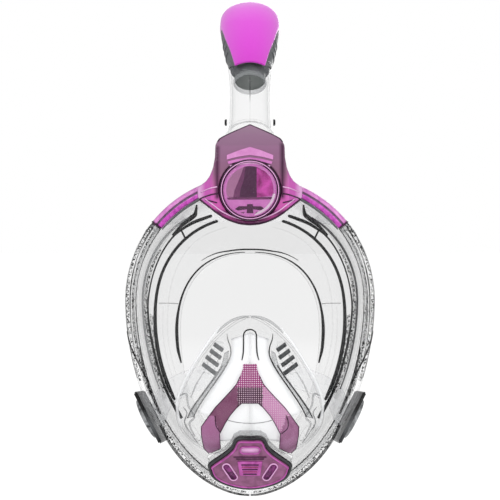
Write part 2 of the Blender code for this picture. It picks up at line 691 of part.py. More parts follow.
def make_dry_top(at):
    body_rings = [(13.6, 11.8, 67), (13.9, 12.1, 76), (16.3, 14.1, 76.6), (16.3, 14.1, 82.2),
                  (17.4, 15.6, 82.6), (18.6, 16.6, 88), (21, 17.4, 104), (22.4, 17.6, 116)]
    body = loft("dry_top_body", ovals(at, body_rings), SMOKE)
    chamber = [(15.4, 13.4, 85), (18.8, 15.2, 104), (20.2, 15.4, 119)]
    boolean(body, loft("float_chamber", ovals(at, chamber), None, group=CUTTERS))
    boolean(body, cylinder("riser", at, 7.6 * mm, 84 * mm, 112.5 * mm, sides=24), "UNION")
    bore = [(12.2, 10.4, 64), (12.2, 10.4, 74), (6.2, 6.2, 82), (6.2, 6.2, 115)]
    boolean(body, loft("air_bore", ovals(at, bore), None, group=CUTTERS))
    for side, label in ((1, "right"), (-1, "left")):
        near, far = sorted((side * 12 * mm, side * 30 * mm))
        for i in range(3):
            h = (90 + 6 * i) * mm
            boolean(body, block(f"inlet_{label}_{i}", at, (near, -7 * mm, h), (far, 7 * mm, h + 3 * mm)))

    cap_rings = [(19.9, 18.6, 70), (21.6, 19.6, 88), (23.7, 20.4, 104), (25.4, 20.8, 120), (25.8, 20.6, 132),
                 (24.6, 18.8, 140), (20, 15, 145), (11, 8, 148)]
    cap = loft("dry_top_cap", ovals(at, cap_rings), MAGENTA)
    hollow = [(18.5, 17.2, 66), (20.1, 18.1, 88), (22.1, 18.8, 104), (23.8, 19.2, 120), (24.2, 19, 131.4),
              (22.8, 17, 138.4), (18, 13, 142.8), (9, 6.4, 145.4)]
    boolean(cap, loft("cap_inside", ovals(at, hollow), None, group=CUTTERS))
    wedge = [(12.4, 64), (25.6, 122), (36, 122), (36, 64)]
    upright = at @ Matrix.Rotation(math.pi / 2, 4, "X")
    for side, label in ((1, "right"), (-1, "left")):
        outline = [(side * x * mm, h * mm) for x, h in wedge]
        boolean(cap, prism(f"cap_side_cut_{label}", upright, outline, -30 * mm, 30 * mm))

    seat = loft("float_seat", ovals(at, [(18.6, 14.6, 109), (18.8, 14.7, 111)]), SMOKE)
    boolean(seat, cylinder("riser_hole", at, 8 * mm, 105 * mm, 115 * mm, sides=24))
    for i in range(8):
        angle = i * math.pi / 4
        place = at @ Matrix.Translation((10.5 * mm * math.cos(angle), 10.5 * mm * math.sin(angle), 0))
        boolean(seat, cylinder(f"seat_hole_{i}", place, 1.6 * mm, 105 * mm, 115 * mm, sides=12))
    float_ring = cylinder("float", at, 12.6 * mm, 85.6 * mm, 96 * mm, BAND, PARTS, 32)
    float_seal = cylinder("float_seal", at, 12.6 * mm, 96.3 * mm, 97.6 * mm, SMOKE, PARTS, 32)
    for ring in (float_ring, float_seal):
        boolean(ring, cylinder(f"{ring.name}_bore", at, 8.2 * mm, 80 * mm, 105 * mm, sides=24))


# ---------------------------------------------------------------- the clips and the harness


def make_clips():
    """On each side of the jaw: a clip plate that swivels on a post, with a push button set into it."""
    for side, label in ((1, "right"), (-1, "left")):
        at = clip_frame(side)
        cylinder(f"strap_post_{label}", at, 4.6 * mm, 0.3 * mm, 1.5 * mm, CLEAR, PARTS, 20)
        plate = ((-22.3 * mm, -19.5 * mm, 0.4 * mm), (22.3 * mm, 27 * mm, 3.2 * mm))
        clip = block(f"strap_clip_{label}", at, *plate, BLACK, PARTS, 1 * mm)
        boolean(clip, cylinder(f"clip_bore_{label}", at, 5 * mm, -3 * mm, 9 * mm, sides=20))
        recess = cylinder(f"clip_recess_{label}", at, CLIP_BUTTON_RADIUS + GAP, 1.4 * mm, 9 * mm, sides=36)
        boolean(clip, recess)
        slot = ((-11.5 * mm, 21 * mm, -3 * mm), (11.5 * mm, 24.2 * mm, 9 * mm))
        boolean(clip, block(f"clip_slot_{label}", at, *slot))
        face_radius = CLIP_BUTTON_RADIUS - 1.6 * mm
        button = cylinder(f"clip_button_{label}", at, CLIP_BUTTON_RADIUS, 3.3 * mm, 6.4 * mm, SMOKE,
                          PARTS, 36, face_radius)
        boolean(button, cylinder(f"clip_button_dish_{label}", at, 12 * mm, 5.6 * mm, 9 * mm, sides=28))


def band(name, path, up, look):
    """A flat strap along a path of points, its width along the up vectors."""
    rings = []
    for i, here in enumerate(path):
        before, after = path[max(0, i - 1)], path[min(len(path) - 1, i + 1)]
        along = (after - before).normalized()
        wide = (up[i] - along * up[i].dot(along)).normalized() * STRAP_WIDTH / 2
        thick = along.cross(wide).normalized() * STRAP_THICKNESS / 2
        rings.append([here + wide + thick, here - wide + thick, here - wide - thick, here + wide - thick])
    return loft(name, rings, look)


def half_loop(side_x, side_y, side_z, back_y, back_z, steps=20):
    """A strap's line round the back of the head, from the left side to the right."""
    points = []
    for i in range(steps + 1):
        angle = math.pi - math.pi * i / steps
        depth = math.sin(angle) ** 0.8
        across = side_x * math.cos(angle)
        points.append(Vector((across, mix(side_y, back_y, depth), mix(side_z, back_z, depth))))
    return points


def make_harness():
    for side, label in ((1, "right"), (-1, "left")):
        at = rim_frame(ANCHOR_ANGLE, side, 0)
        body = ((-12 * mm, 9.4 * mm, -7.5 * mm), (12 * mm, 19 * mm, -1.5 * mm))
        anchor = block(f"strap_anchor_{label}", at, *body, SMOKE, PARTS, 0.8 * mm)
        slot = ((-9 * mm, 12.6 * mm, -12 * mm), (9 * mm, 15.6 * mm, 3 * mm))
        boolean(anchor, block(f"anchor_slot_{label}", at, *slot))
        clip = clip_frame(side)
        path = [clip @ Vector((0, y * mm, 1.8 * mm)) for y in (27.5, 32, 37, 42)]
        band(f"strap_tail_{label}", path, [clip.col[0].to_3d()] * 4, BAND)

    anchor = rim_frame(ANCHOR_ANGLE, 1, 0)
    start = anchor @ Vector((0, 21.6 * mm, -4.5 * mm))
    make_loop("upper_strap", start, anchor.col[0].to_3d(), 66 * mm, 98 * mm)
    clip = clip_frame(1)
    start = clip @ Vector((0, 45.6 * mm, 1.8 * mm))
    make_loop("lower_strap", start, clip.col[0].to_3d(), 80 * mm, -46 * mm)


def make_loop(name, start, tilt, back_y, back_z):
    """A strap round the back of the head: straight for its first few millimetres, then half a loop."""
    straight = 5 * mm
    path = half_loop(start.x, start.y + straight, start.z, back_y, back_z)
    path = [Vector((-start.x, start.y, start.z))] + path + [start]
    band(name, path, [lean_out(tilt, point.x / start.x) for point in path], BAND)


def lean_out(tilt, share):
    """A strap's width direction: upright at the back of the head, and as its end needs at the side."""
    tilt = tilt if tilt.z > 0 else -tilt
    return Vector((tilt.x * share, 0, mix(1, tilt.z, abs(share)))).normalized()


def move_origin(name, place):
    """Puts a moving piece's origin on its joint's axis."""
    obj = bpy.data.objects[name]
    obj.data.transform(Matrix.Translation(-place))
    obj.location = place


def place_origins():
    for name in SNORKEL_PIECES:
        move_origin(name, MOUTH)
    move_origin("lock_button", BUTTON_CENTRE)
    move_origin("exhale_membrane", CHIN_CENTRE)
    for side, label in ((1, "right"), (-1, "left")):
        move_origin(f"inhale_flap_{label}", vent_frame(side) @ INHALE_HINGE)
        move_origin(f"exhale_flap_{label}", port_frame(side) @ EXHALE_HINGE)
        move_origin(f"strap_clip_{label}", clip_frame(side).translation)
        move_origin(f"clip_button_{label}", clip_frame(side).translation)


def main():
    make_rim()
    chin_hole = prism("chin_clearance", chin_frame(), chin_outline(-0.6 * mm), -30 * mm, 20 * mm)
    facing = frame_at((0, 0, 0), (1, 0, 0), (0, 0, 1))
    grown = [(x * 1.02, z + math.copysign(0.7 * mm, z - 120 * mm)) for x, z in socket_front()]
    socket_hole = prism("socket_clearance", facing, grown, 52.6 * mm, 110 * mm)
    make_visor(chin_hole, socket_hole)
    make_seal()
    make_skirt()
    make_pocket()
    make_vents()
    make_ports()
    make_nose_trim()
    make_chin_valve()
    make_socket()
    make_lock_button()
    make_snorkel()
    make_clips()
    make_harness()
    place_origins()


main()
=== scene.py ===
from math import copysign, cos, dist, pi, radians, sin

import bmesh
import bpy
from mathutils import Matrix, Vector
from mathutils.bvhtree import BVHTree


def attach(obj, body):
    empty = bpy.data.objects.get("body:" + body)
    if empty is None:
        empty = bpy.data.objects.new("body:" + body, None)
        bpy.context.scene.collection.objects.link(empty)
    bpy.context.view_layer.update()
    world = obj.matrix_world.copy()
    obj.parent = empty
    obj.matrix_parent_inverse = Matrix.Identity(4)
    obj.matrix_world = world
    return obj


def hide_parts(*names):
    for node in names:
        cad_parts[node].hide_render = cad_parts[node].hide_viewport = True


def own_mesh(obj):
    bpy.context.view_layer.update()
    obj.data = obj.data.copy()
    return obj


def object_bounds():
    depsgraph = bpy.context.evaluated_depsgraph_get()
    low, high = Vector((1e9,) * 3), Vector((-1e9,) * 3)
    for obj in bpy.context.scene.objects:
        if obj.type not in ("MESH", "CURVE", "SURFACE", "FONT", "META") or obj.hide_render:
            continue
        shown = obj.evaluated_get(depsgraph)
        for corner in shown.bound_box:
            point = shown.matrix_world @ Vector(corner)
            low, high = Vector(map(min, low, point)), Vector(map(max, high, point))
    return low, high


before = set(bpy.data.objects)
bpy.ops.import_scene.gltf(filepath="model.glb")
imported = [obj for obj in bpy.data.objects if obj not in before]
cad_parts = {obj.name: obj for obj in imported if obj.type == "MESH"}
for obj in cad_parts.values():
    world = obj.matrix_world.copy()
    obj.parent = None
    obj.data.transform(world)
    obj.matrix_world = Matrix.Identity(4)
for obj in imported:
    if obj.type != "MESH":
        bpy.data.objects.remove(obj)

CAD_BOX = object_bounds()
SCENE = bpy.context.scene
MM = 0.001
SIDES = (("left", -1), ("right", 1))

# ---------------- camera, lights and world

VIEW_HEIGHT = 0.0628
VIEW_DISTANCE = 0.9
RIM_PLANE = -0.04
VIEW_WIDTH = 0.3925
SENSOR = 36


def put(name, data):
    """A new object in the scene."""
    obj = bpy.data.objects.new(name, data)
    SCENE.collection.objects.link(obj)
    return obj


def make_camera():
    data = bpy.data.cameras.new("view")
    data.sensor_width = SENSOR
    data.lens = SENSOR * VIEW_DISTANCE / VIEW_WIDTH
    data.clip_end = 200
    SCENE.camera = put("view", data)
    SCENE.camera.location = (0, RIM_PLANE - VIEW_DISTANCE, VIEW_HEIGHT)
    SCENE.camera.rotation_euler = (pi / 2, 0, 0)


def make_light(name, place, power):
    """A soft square lamp that faces the object."""
    data = bpy.data.lights.new(name, "AREA")
    data.size = 0.9
    data.energy = power
    lamp = put(name, data)
    lamp.location = place
    lamp.rotation_euler = (Vector((0, 0, 0.06)) - Vector(place)).to_track_quat("-Z", "Y").to_euler()


def tint(code):
    """A display colour written as six hex digits, as linear red, green, blue and 1. Anything else stays."""
    if not isinstance(code, str):
        return code
    values = [int(code[i:i + 2], 16) / 255 for i in (0, 2, 4)]
    return [v / 12.92 if v <= 0.04045 else ((v + 0.055) / 1.055) ** 2.4 for v in values] + [1]


class Tree:
    """A material's or world's node tree."""

    def __init__(self, owner):
        owner.use_nodes = True
        self.owner, self.tree = owner, owner.node_tree
        self.tree.nodes.clear()

    def add(self, kind, inputs=(), **settings):
        node = self.tree.nodes.new("ShaderNode" + kind)
        for key, value in settings.items():
            setattr(node, key, value)
        for key, value in dict(inputs).items():
            if isinstance(value, bpy.types.NodeSocket):
                self.tree.links.new(value, node.inputs[key])
            else:
                node.inputs[key].default_value = value
        return node

    def noise(self, where, scale, detail=2, distortion=0):
        values = {"Vector": where, "Scale": scale, "Detail": detail, "Distortion": distortion}
        return self.add("TexNoise", values).outputs["Fac"]

    def remap(self, value, low, high, new_low, new_high):
        values = {"Value": value, "From Min": low, "From Max": high, "To Min": new_low, "To Max": new_high}
        return self.add("MapRange", values).outputs["Result"]

    def maths(self, operation, *values):
        return self.add("Math", enumerate(values), operation=operation).outputs[0]

    def ramp(self, value, stops):
        node = self.add("ValToRGB", {"Fac": value})
        elements = node.color_ramp.elements
        while len(elements) < len(stops):
            elements.new(0.5)
        for element, (place, code) in zip(elements, stops):
            element.position = place
            element.color = tint(code)
        return node.outputs["Color"]

    def blend(self, share, a, b):
        return self.add("Mix", {"Factor": share, 6: tint(a), 7: tint(b)}, data_type="RGBA").outputs[2]

    def bump(self, height, strength, distance=0.0002):
        values = {"Height": height, "Strength": strength, "Distance": distance}
        return self.add("Bump", values).outputs["Normal"]

    def facing(self, normal, power):
        """0 where the surface faces the eye, 1 at its silhouette."""
        glance = self.add("LayerWeight", {"Blend": 0.5, "Normal": normal}).outputs["Facing"]
        return self.maths("POWER", glance, power)

    def done(self, slot, **inputs):
        shader = self.add("BsdfPrincipled", {k.replace("_", " "): v for k, v in inputs.items()})
        self.add("OutputMaterial", {"Surface": shader.outputs["BSDF"]})
        return self.owner


def make_world():
    """White all round, a little dimmer from below for what it lights."""
    SCENE.world = bpy.data.worlds.new("studio")
    sky = Tree(SCENE.world)
    up = sky.add("SeparateXYZ", {0: sky.add("TexCoord").outputs["Generated"]}).outputs["Z"]
    shade = sky.ramp(sky.maths("MULTIPLY_ADD", up, 0.5, 0.5), [(0.3, (0.34, 0.34, 0.35, 1)), (0.85, (1, 1, 1, 1))])
    soft = sky.add("Background", {"Color": shade, "Strength": 0.8}).outputs[0]
    seen = sky.add("Background", {"Color": (1, 1, 1, 1), "Strength": 1}).outputs[0]
    rays = sky.add("LightPath").outputs["Is Camera Ray"]
    sky.add("OutputWorld", {"Surface": sky.add("MixShader", {0: rays, 1: soft, 2: seen}).outputs[0]})


make_camera()
make_world()
make_light("key", (-0.7, -1.1, 0.9), 9)
make_light("fill", (0.9, -0.9, 0.4), 5)
make_light("back", (0.2, 1.2, 0.7), 6)
SCENE.view_settings.view_transform = "Standard"
SCENE.cycles.transparent_max_bounces = 64
SCENE.cycles.max_bounces = 6

# ---------------- materials

CLEAR_PART, MAGENTA_PART, SMOKE_PART = "clear_polycarbonate", "magenta_polycarbonate", "smoke_polycarbonate"
SKIN_PART, STRAP_PART, NYLON_PART = "clear_silicone", "pale_silicone_strap", "black_nylon"


def plastic(name, deep, pale, edge=None, edge_power=2.5, rough=0.25, gloss=0.45, patch=45, alpha=None, stops=None,
        glow=0, shades=(), slot=MAGENTA_PART):
    """Moulded plastic or rubber: cloudy colour, fine grain in its roughness and bump, and a silhouette tint by facing:
    painted shade where darker, painted sheen where lighter.
    """
    look = Tree(bpy.data.materials.new(name))
    where = look.add("TexCoord").outputs["Object"]
    clouds = look.noise(where, patch, 3, 0.6)
    fine = look.noise(where, 1800)
    if stops:
        height = look.add("SeparateXYZ", {"Vector": where}).outputs["Z"]
        low, high = stops[0][0], stops[-1][0]
        share = look.remap(look.maths("MULTIPLY_ADD", clouds, 0.006, height), low * MM + 0.003, high * MM + 0.003, 0,
            1)
        colour = look.ramp(share, [((p - low) / (high - low), code) for p, code in stops])
        colour = look.blend(look.remap(fine, 0.3, 0.7, 0, 0.08), colour, deep)
        for shade, low, high, soft in shades:
            colour = look.blend(side_band(look, where, low, high, soft), colour, shade)
    else:
        colour = look.ramp(look.maths("MULTIPLY_ADD", fine, 0.25, clouds), [(0.42, deep), (0.82, pale)])
    bumped = look.bump(fine, 0.05)
    # The silhouette tint follows how the surface faces the eye: painted shade where the edge colour is darker, painted
    # sheen where it is lighter.
    if edge:
        colour = look.blend(look.facing(bumped, edge_power), colour, edge)
    inputs = {"Emission_Color": colour, "Emission_Strength": glow} if glow else {}
    if alpha:
        inputs["Alpha"] = look.remap(look.facing(bumped, 1.6), 0, 1, *alpha)
    return look.done(slot, Base_Color=colour, Roughness=look.remap(fine, 0.25, 0.75, rough * 0.8, rough * 1.25),
        Normal=bumped, Specular_IOR_Level=gloss, **inputs)


def side_band(look, where, low, high, soft):
    """1 in an upright box from low to high corners of (x, z) in millimetres, with soft sides."""
    split = look.add("SeparateXYZ", {"Vector": where})
    inside = None
    for axis, a, b in (("X", low[0], high[0]), ("Z", low[1], high[1])):
        for edge, way in ((a, 1), (b, -1)):
            share = look.remap(split.outputs[axis], edge * MM, (edge + way * soft) * MM, 0, 1)
            inside = share if inside is None else look.maths("MULTIPLY", inside, share)
    return inside


def clear(name, face, edge, alpha, power=2.2, rough=0.08, gloss=0.15, warp=0, warp_scale=300, streak=None, glow=0,
        specks=None, slot=SKIN_PART):
    """Clear plastic or silicone: all but unseen face on, and dark and dense along its silhouette."""
    look = Tree(bpy.data.materials.new(name))
    texture = look.add("TexCoord")
    where = texture.outputs["Object"]
    fine = look.noise(where, 2400)
    height = look.maths("MULTIPLY_ADD", look.noise(where, warp_scale, 2, 1), 6, fine) if warp else fine
    bumped = look.bump(height, max(warp, 0.03), 0.0004)
    glance = look.facing(bumped, power)
    dense = look.remap(glance, 0, 1, *alpha)
    colour = look.blend(glance, face, edge)
    marks = []
    if streak:
        along, across, amount, low, high = streak
        grid = look.add("Mapping", {"Vector": texture.outputs["UV"], "Scale": (along, across, 1)}).outputs[0]
        marks.append((look.noise(grid, 1, 3, 0.8), low, high, amount))
    if specks:
        scale, low, high, amount = specks
        marks.append((look.noise(where, scale, 2, 0.4), low, high, amount))
    for cloud, low, high, amount in marks:
        share = look.remap(cloud, low, high, 0, 1)
        dense = look.maths("MAXIMUM", dense, look.maths("MULTIPLY", share, amount))
        colour = look.blend(share, colour, edge)
    inputs = {"Emission_Color": colour, "Emission_Strength": glow} if glow else {}
    return look.done(slot, Base_Color=colour, Roughness=look.remap(fine, 0.25, 0.75, rough * 0.7, rough * 1.4),
        Normal=bumped, Specular_IOR_Level=gloss, Alpha=dense, **inputs)


GLASS = clear("visor_clear", "1a1c1d", "1c1e20", (0.095, 0.6), 5, 0.04, 0.12, slot=CLEAR_PART)
RIM = clear("rim_clear", "a4a8aa", "0c0e10", (0.025, 0.5), 4.2, 0.08, 0.4, warp=0.5, warp_scale=420,
    streak=(330, 60, 0.55, 0.62, 0.67), slot=CLEAR_PART)
RIM_LINE = clear("rim_shadow", "0c0d0f", "060708", (0.5, 0.95), 1.2, 0.2, 0.1, warp=0.5, warp_scale=240,
    specks=(600, 0.5, 0.62, 0.95), slot=CLEAR_PART)
TUBE = clear("tube_clear", "6f7476", "34383a", (0.025, 0.5), 5, 0.05, 0.15, warp=0.1, warp_scale=90, slot=CLEAR_PART)
SKIN = clear("silicone_clear", "b4b6b7", "4a4c4e", (0.035, 0.34), 4.6, 0.35, 0.15, warp=0.12, warp_scale=120)
GHOST = clear("silicone_thin", "c4c6c7", "6a6c6e", (0.02, 0.16), 4, 0.35, 0.1)
SKIN_MID = clear("silicone_mid_edge", "8e9193", "5a5c5e", (0.42, 0.7), 1.8, 0.3, 0.1, warp=0.2, warp_scale=200)
SKIN_DENSE = clear("silicone_dense_edge", "3c3e40", "141516", (0.7, 0.9), 1.8, 0.3, 0.1, warp=0.2, warp_scale=200)
SKIN_HAZE = clear("silicone_haze", "a6a9ab", "7c7f81", (0.28, 0.55), 2, 0.35, 0.1, warp=0.2, warp_scale=160)
SPECKLE = clear("rim_speckle", "303335", "050606", (0.03, 0.12), 2, 0.1, 0.2, specks=(820, 0.54, 0.58, 0.95))
HATCH = clear("silicone_hatched", "707375", "0e0f10", (0.06, 0.4), 2.6, 0.3, 0.1, specks=(640, 0.5, 0.58, 0.62))
SKIN_LINE = clear("silicone_thick_edge", "17191a", "050606", (0.8, 0.97), 1.5, 0.3, 0.08, warp=0.1)
SKIN_THIN = clear("silicone_thin_edge", "25282a", "0c0d0e", (0.28, 0.85), 1.5, 0.3, 0.08, warp=0.1)
SKIN_BAND = clear("silicone_band", "6c6f71", "1c1e20", (0.16, 0.7), 2.8, 0.3, 0.12, warp=0.4, warp_scale=200)
# White silicone that glows, painted light for the soft bright glow along the pocket's side and panels.
SKIN_GLOW = clear("silicone_white_glow", "fafbfc", "a4a7a9", (0.5, 0.75), 3.5, 0.45, 0.2, warp=0.1, glow=0.32)
# The strap silicone also glows, painted light that lifts it to the white backdrop.
STRAP = clear("strap_silicone_glowing", "f4f5f6", "7c7f81", (0.24, 0.8), 2.8, 0.5, 0.15, glow=0.24, slot=STRAP_PART)
# The cap's colour is painted lighter towards its top, a painted highlight, and its silhouette paler, a painted sheen.
MAGENTA = plastic("magenta_cap", "c436bd", "cc42c6", "d08cd0", 2.2, 0.2, 0.3,
    stops=((208, "c02cb6"), (232, "cb3cc4"), (256, "d04aca"), (268, "d468d0"), (277, "dc9cdc")))
LILAC = plastic("lilac_arm", "b866b0", "d88ecb", "9c5a96", 3, 0.18, 0.35, patch=200)
HOT = plastic("magenta_arm", "9c2f92", "d455c8", "5a2058", 2.4, 0.15, 0.35, patch=330)
MAUVE_LINE = plastic("mauve_groove", "5a4059", "806080", "3a2a3a", 2, 0.3, 0.2, patch=400)
MAUVE = plastic("mauve_socket", "84536f", "93627e", "5a2f4e", 2.6, 0.18, 0.3,
    stops=((83, "4a1640"), (88, "a03a80"), (95, "bc529e"), (104, "c05aa6"), (113, "a45a8c"), (122, "835a74"),
    (135, "825a78"), (150, "8a6682"), (160, "94748c")),
    shades=(("3a1a32", (21.5, 100), (27.5, 146), 3), ("4a2440", (-27.5, 100), (-22, 143), 2.6),
    ("c558b2", (-46, 94), (-27.5, 126), 3.5), ("c558b2", (27.5, 94), (46, 126), 3.5),
    ("dda6d6", (-47, 99), (-34, 124), 4), ("dda6d6", (34, 99), (47, 124), 4), ("5a1f4c", (-30, 88), (30, 94), 3)))
PINK = plastic("pink_band", "b968ab", "c57ab8", "8d4a82", 3, 0.2, 0.3, patch=80)
PALE_PINK = plastic("pale_pink", "d39ac8", "dba9d2", "b070a6", 3, 0.22, 0.3, patch=80)
PLUM = plastic("plum_edge", "2b1428", "43203d", "180a16", 2, 0.2, 0.25, patch=120)
SMOKE = plastic("smoke_grey", "55575a", "646668", "3c3e40", 2.2, 0.3, 0.25, patch=60, slot=SMOKE_PART)
BLACK = plastic("black_nylon", "0d0d0f", "18181a", "050506", 2, 0.4, 0.2, slot=NYLON_PART)
GREY = plastic("grey_button", "2c2e30", "b0b2b4", "2c2e30", 1.6, 0.25, 0.3, patch=210, slot=SMOKE_PART)
# Fills for the vent slots, painted shade for the dark inside of the slots, lighter on the left side than on the right.
SLOT_GREY = plastic("slot_shade_grey", "7c7e80", "989a9b", "606263", 2, 0.4, 0.1, patch=260, slot=SMOKE_PART)
SLOT_DARK = plastic("slot_shade_dark", "2e3032", "6c6e70", "202224", 2, 0.4, 0.1, patch=330, slot=SMOKE_PART)
STEEL = plastic("spring_steel", "8c8e90", "a4a6a8", "505254", 2, 0.25, 0.6, slot="spring_steel")
WHITE_RUBBER = plastic("float_white", "b9bbbd", "c8cacc", "8c8e90", 2, 0.45, 0.2, slot=STRAP_PART)

# ---------------- mesh tools, in millimetres


def mix(a, b, share):
    return a + (b - a) * share


def spline(points, steps, closed=False):
    """A smooth curve through the points, with steps between each two."""
    count = len(points)
    out = []
    for i in range(count if closed else count - 1):
        if closed:
            four = [points[(i + k) % count] for k in (-1, 0, 1, 2)]
        else:
            four = [points[min(max(i + k, 0), count - 1)] for k in (-1, 0, 1, 2)]
        for k in range(steps):
            s = k / steps
            weights = (-0.5 * s + s * s - 0.5 * s ** 3, 1 - 2.5 * s * s + 1.5 * s ** 3,
                0.5 * s + 2 * s * s - 1.5 * s ** 3, -0.5 * s * s + 0.5 * s ** 3)
            out.append(tuple(sum(w * p[j] for w, p in zip(weights, four)) for j in range(len(points[0]))))
    if not closed:
        out.append(tuple(points[-1]))
    return out


def lattice(rows, around=True, loop=False, caps=False):
    """Vertices and quads of a stack of rows with equal counts."""
    verts = [tuple(p) for row in rows for p in row]
    n = len(rows[0])
    faces = []
    for i in range(len(rows) if loop else len(rows) - 1):
        a, b = i * n, (i + 1) % len(rows) * n
        for j in range(n if around else n - 1):
            k = (j + 1) % n
            faces.append((a + j, a + k, b + k, b + j))
    if caps:
        faces.append(tuple(range(n - 1, -1, -1)))
        last = (len(rows) - 1) * n
        faces.append(tuple(range(last, last + n)))
    return verts, faces


def clean(mesh, dist, dissolve=0):
    """Welds a mesh and turns its faces outwards."""
    bm = bmesh.new()
    bm.from_mesh(mesh)
    bmesh.ops.remove_doubles(bm, verts=bm.verts, dist=dist)
    if dissolve:
        bmesh.ops.dissolve_limit(bm, angle_limit=radians(dissolve), verts=bm.verts, edges=bm.edges)
    bmesh.ops.recalc_face_normals(bm, faces=bm.faces)
    if (dissolve or all(e.is_manifold for e in bm.edges)) and bm.calc_volume(signed=True) < 0:
        bmesh.ops.reverse_faces(bm, faces=bm.faces)
    bm.to_mesh(mesh)
    bm.free()
    for polygon in mesh.polygons:
        polygon.use_smooth = True


def piece(name, shape, looks, body="root", instead=(), pick=None, uv=None):
    """A visible piece from (vertices, faces) in millimetres. pick gives each face's look, uv each vertex's."""
    verts, faces = shape
    mesh = bpy.data.meshes.new(name)
    mesh.from_pydata([[c * MM for c in v] for v in verts], [], faces)
    looks = looks if isinstance(looks, list) else [looks]
    for look in looks:
        mesh.materials.append(look)
    if pick:
        for polygon, index in zip(mesh.polygons, pick):
            polygon.material_index = index
    if uv:
        layer = mesh.uv_layers.new(name="UVMap")
        for loop in mesh.loops:
            layer.data[loop.index].uv = uv[loop.vertex_index]
    clean(mesh, 1e-7)
    obj = put(name, mesh)
    if body:
        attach(obj, body)
        if instead:
            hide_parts(*instead)
    return obj


def settle(obj):
    """Applies the object's modifiers to its mesh."""
    bpy.context.view_layer.update()
    graph = bpy.context.evaluated_depsgraph_get()
    mesh = bpy.data.meshes.new_from_object(obj.evaluated_get(graph))
    obj.modifiers.clear()
    obj.data = mesh
    return obj


def modify(obj, kind, **settings):
    step = obj.modifiers.new(kind.lower(), kind)
    for key, value in settings.items():
        setattr(step, key, value)
    return obj


def bevel(obj, width, segments=2, angle=30):
    modify(obj, "BEVEL", width=width * MM, segments=segments, limit_method="ANGLE", angle_limit=radians(angle))
    return modify(obj, "WEIGHTED_NORMAL")


def thick(obj, thickness, offset=-1):
    return modify(obj, "SOLIDIFY", thickness=thickness * MM, offset=offset)


def cut(obj, shape):
    """Cuts a shape in millimetres out of a piece."""
    tool = piece("cutter", shape, [], body=None)
    settle(modify(obj, "BOOLEAN", operation="DIFFERENCE", solver="EXACT", object=tool))
    bpy.data.objects.remove(tool)
    return obj


def crisp(node, look, width=0.4, body="root", name=None, soften=None):
    """A copy of a CAD node that stands in its place, welded and with rounded edges."""
    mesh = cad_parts[node].data.copy()
    obj = put(name or node.replace("_", "-"), mesh)
    clean(mesh, 2e-6, 0.6)
    mesh.materials.clear()
    mesh.materials.append(look)
    for polygon in mesh.polygons:
        polygon.material_index = 0
    if soften:
        voxel, rounds = soften
        modify(obj, "REMESH", mode="VOXEL", voxel_size=voxel * MM, use_smooth_shade=True)
        settle(modify(obj, "SMOOTH", iterations=rounds, factor=0.5))
    else:
        bevel(obj, width)
    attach(obj, body)
    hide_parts(node)
    return obj


def bead(name, path, radius, look, body="root", flatten=1):
    """A round bead along a path. radius is a number, or one for each point; flatten thins it along Y."""
    points = [Vector(p) for p in path]
    rows = []
    for i, here in enumerate(points):
        along = (points[min(i + 1, len(points) - 1)] - points[max(i - 1, 0)]).normalized()
        side = along.cross(Vector((0, 1, 0))).normalized()
        front = side.cross(along).normalized()
        r = radius[i] if isinstance(radius, list) else radius
        rows.append([here + (side * cos(a) + front * flatten * sin(a)) * r for a in turn(8)])
    for end, inward in ((0, 1), (len(rows) - 1, -1)):
        centre = points[end]
        away = (centre - points[end + inward]).normalized()
        small = [centre + (Vector(p) - centre) * 0.6 + away * (Vector(rows[end][0]) - centre).length * 0.6
            for p in rows[end]]
        rows.insert(0 if end == 0 else len(rows), small)
    return piece(name, lattice(rows, caps=True), look, body)


def twin_bead(name, points, radius, place, look, twin=True, right_look=None, flatten=1):
    """A bead through points whose last number scales its radius, with its twin. place carries (side, point)."""
    fine = spline(points, 6)
    for label, side in SIDES[:2 if twin else 1]:
        bead(f"{name}-{label}" if twin else name, [place(side, *p[:-1]) for p in fine], [radius * p[-1] for p in fine],
            right_look if right_look and side > 0 else look, flatten=flatten)


def dome(rows, tip):
    """A stack of rings that closes on a tip."""
    verts, faces = lattice(rows)
    n = len(rows[0])
    last = (len(rows) - 1) * n
    return verts + [tip], faces + [(last + j, last + (j + 1) % n, len(verts)) for j in range(n)]


def disc(radius, steps=32):
    return [(radius * cos(a), radius * sin(a)) for a in turn(steps)]


def prism(outline, place, low, high):
    """An outline of (a, b), carried by place(a, b, n) and extruded from n = low to n = high."""
    return lattice([[place(a, b, n) for a, b in outline] for n in (low, high)], caps=True)


def both_sides(half):
    """A closed outline from its right half, which starts and ends on the middle line."""
    return list(half) + [(-x, y) for x, y in reversed(half) if abs(x) > 1e-9]


# ---------------- the forms that the CAD is built on


def egg(t, half_width, centre_z, top, bottom, top_power, bottom_power):
    c, s = cos(t), sin(t)
    height, power = (top, top_power) if s >= 0 else (bottom, bottom_power)
    return (half_width * copysign(abs(c) ** (2 / power), c), centre_z + height * copysign(abs(s) ** (2 / power), s))


def rim(t, inset=0):
    return egg(t, 99 - inset, 23, 98 - inset, 151 - inset, 2, 1.92)


def rim_y(t):
    return -44 + 16 * (rim(t)[0] / 99) ** 2


def on_rim(t, inset, depth):
    x, z = rim(t, inset)
    return x, rim_y(t) + depth, z


def opening(t):
    return egg(t, 57.6, -2, 63, 93, 2.25, 2.2)


SKIRT_ROWS = spline([(0, 0, 0), (0.07, 0.5, 0), (0.17, 0.88, 0), (0.33, 1, 0), (0.58, 1, 1.5), (0.82, 1, 6),
    (1, 1, 14)], 8)


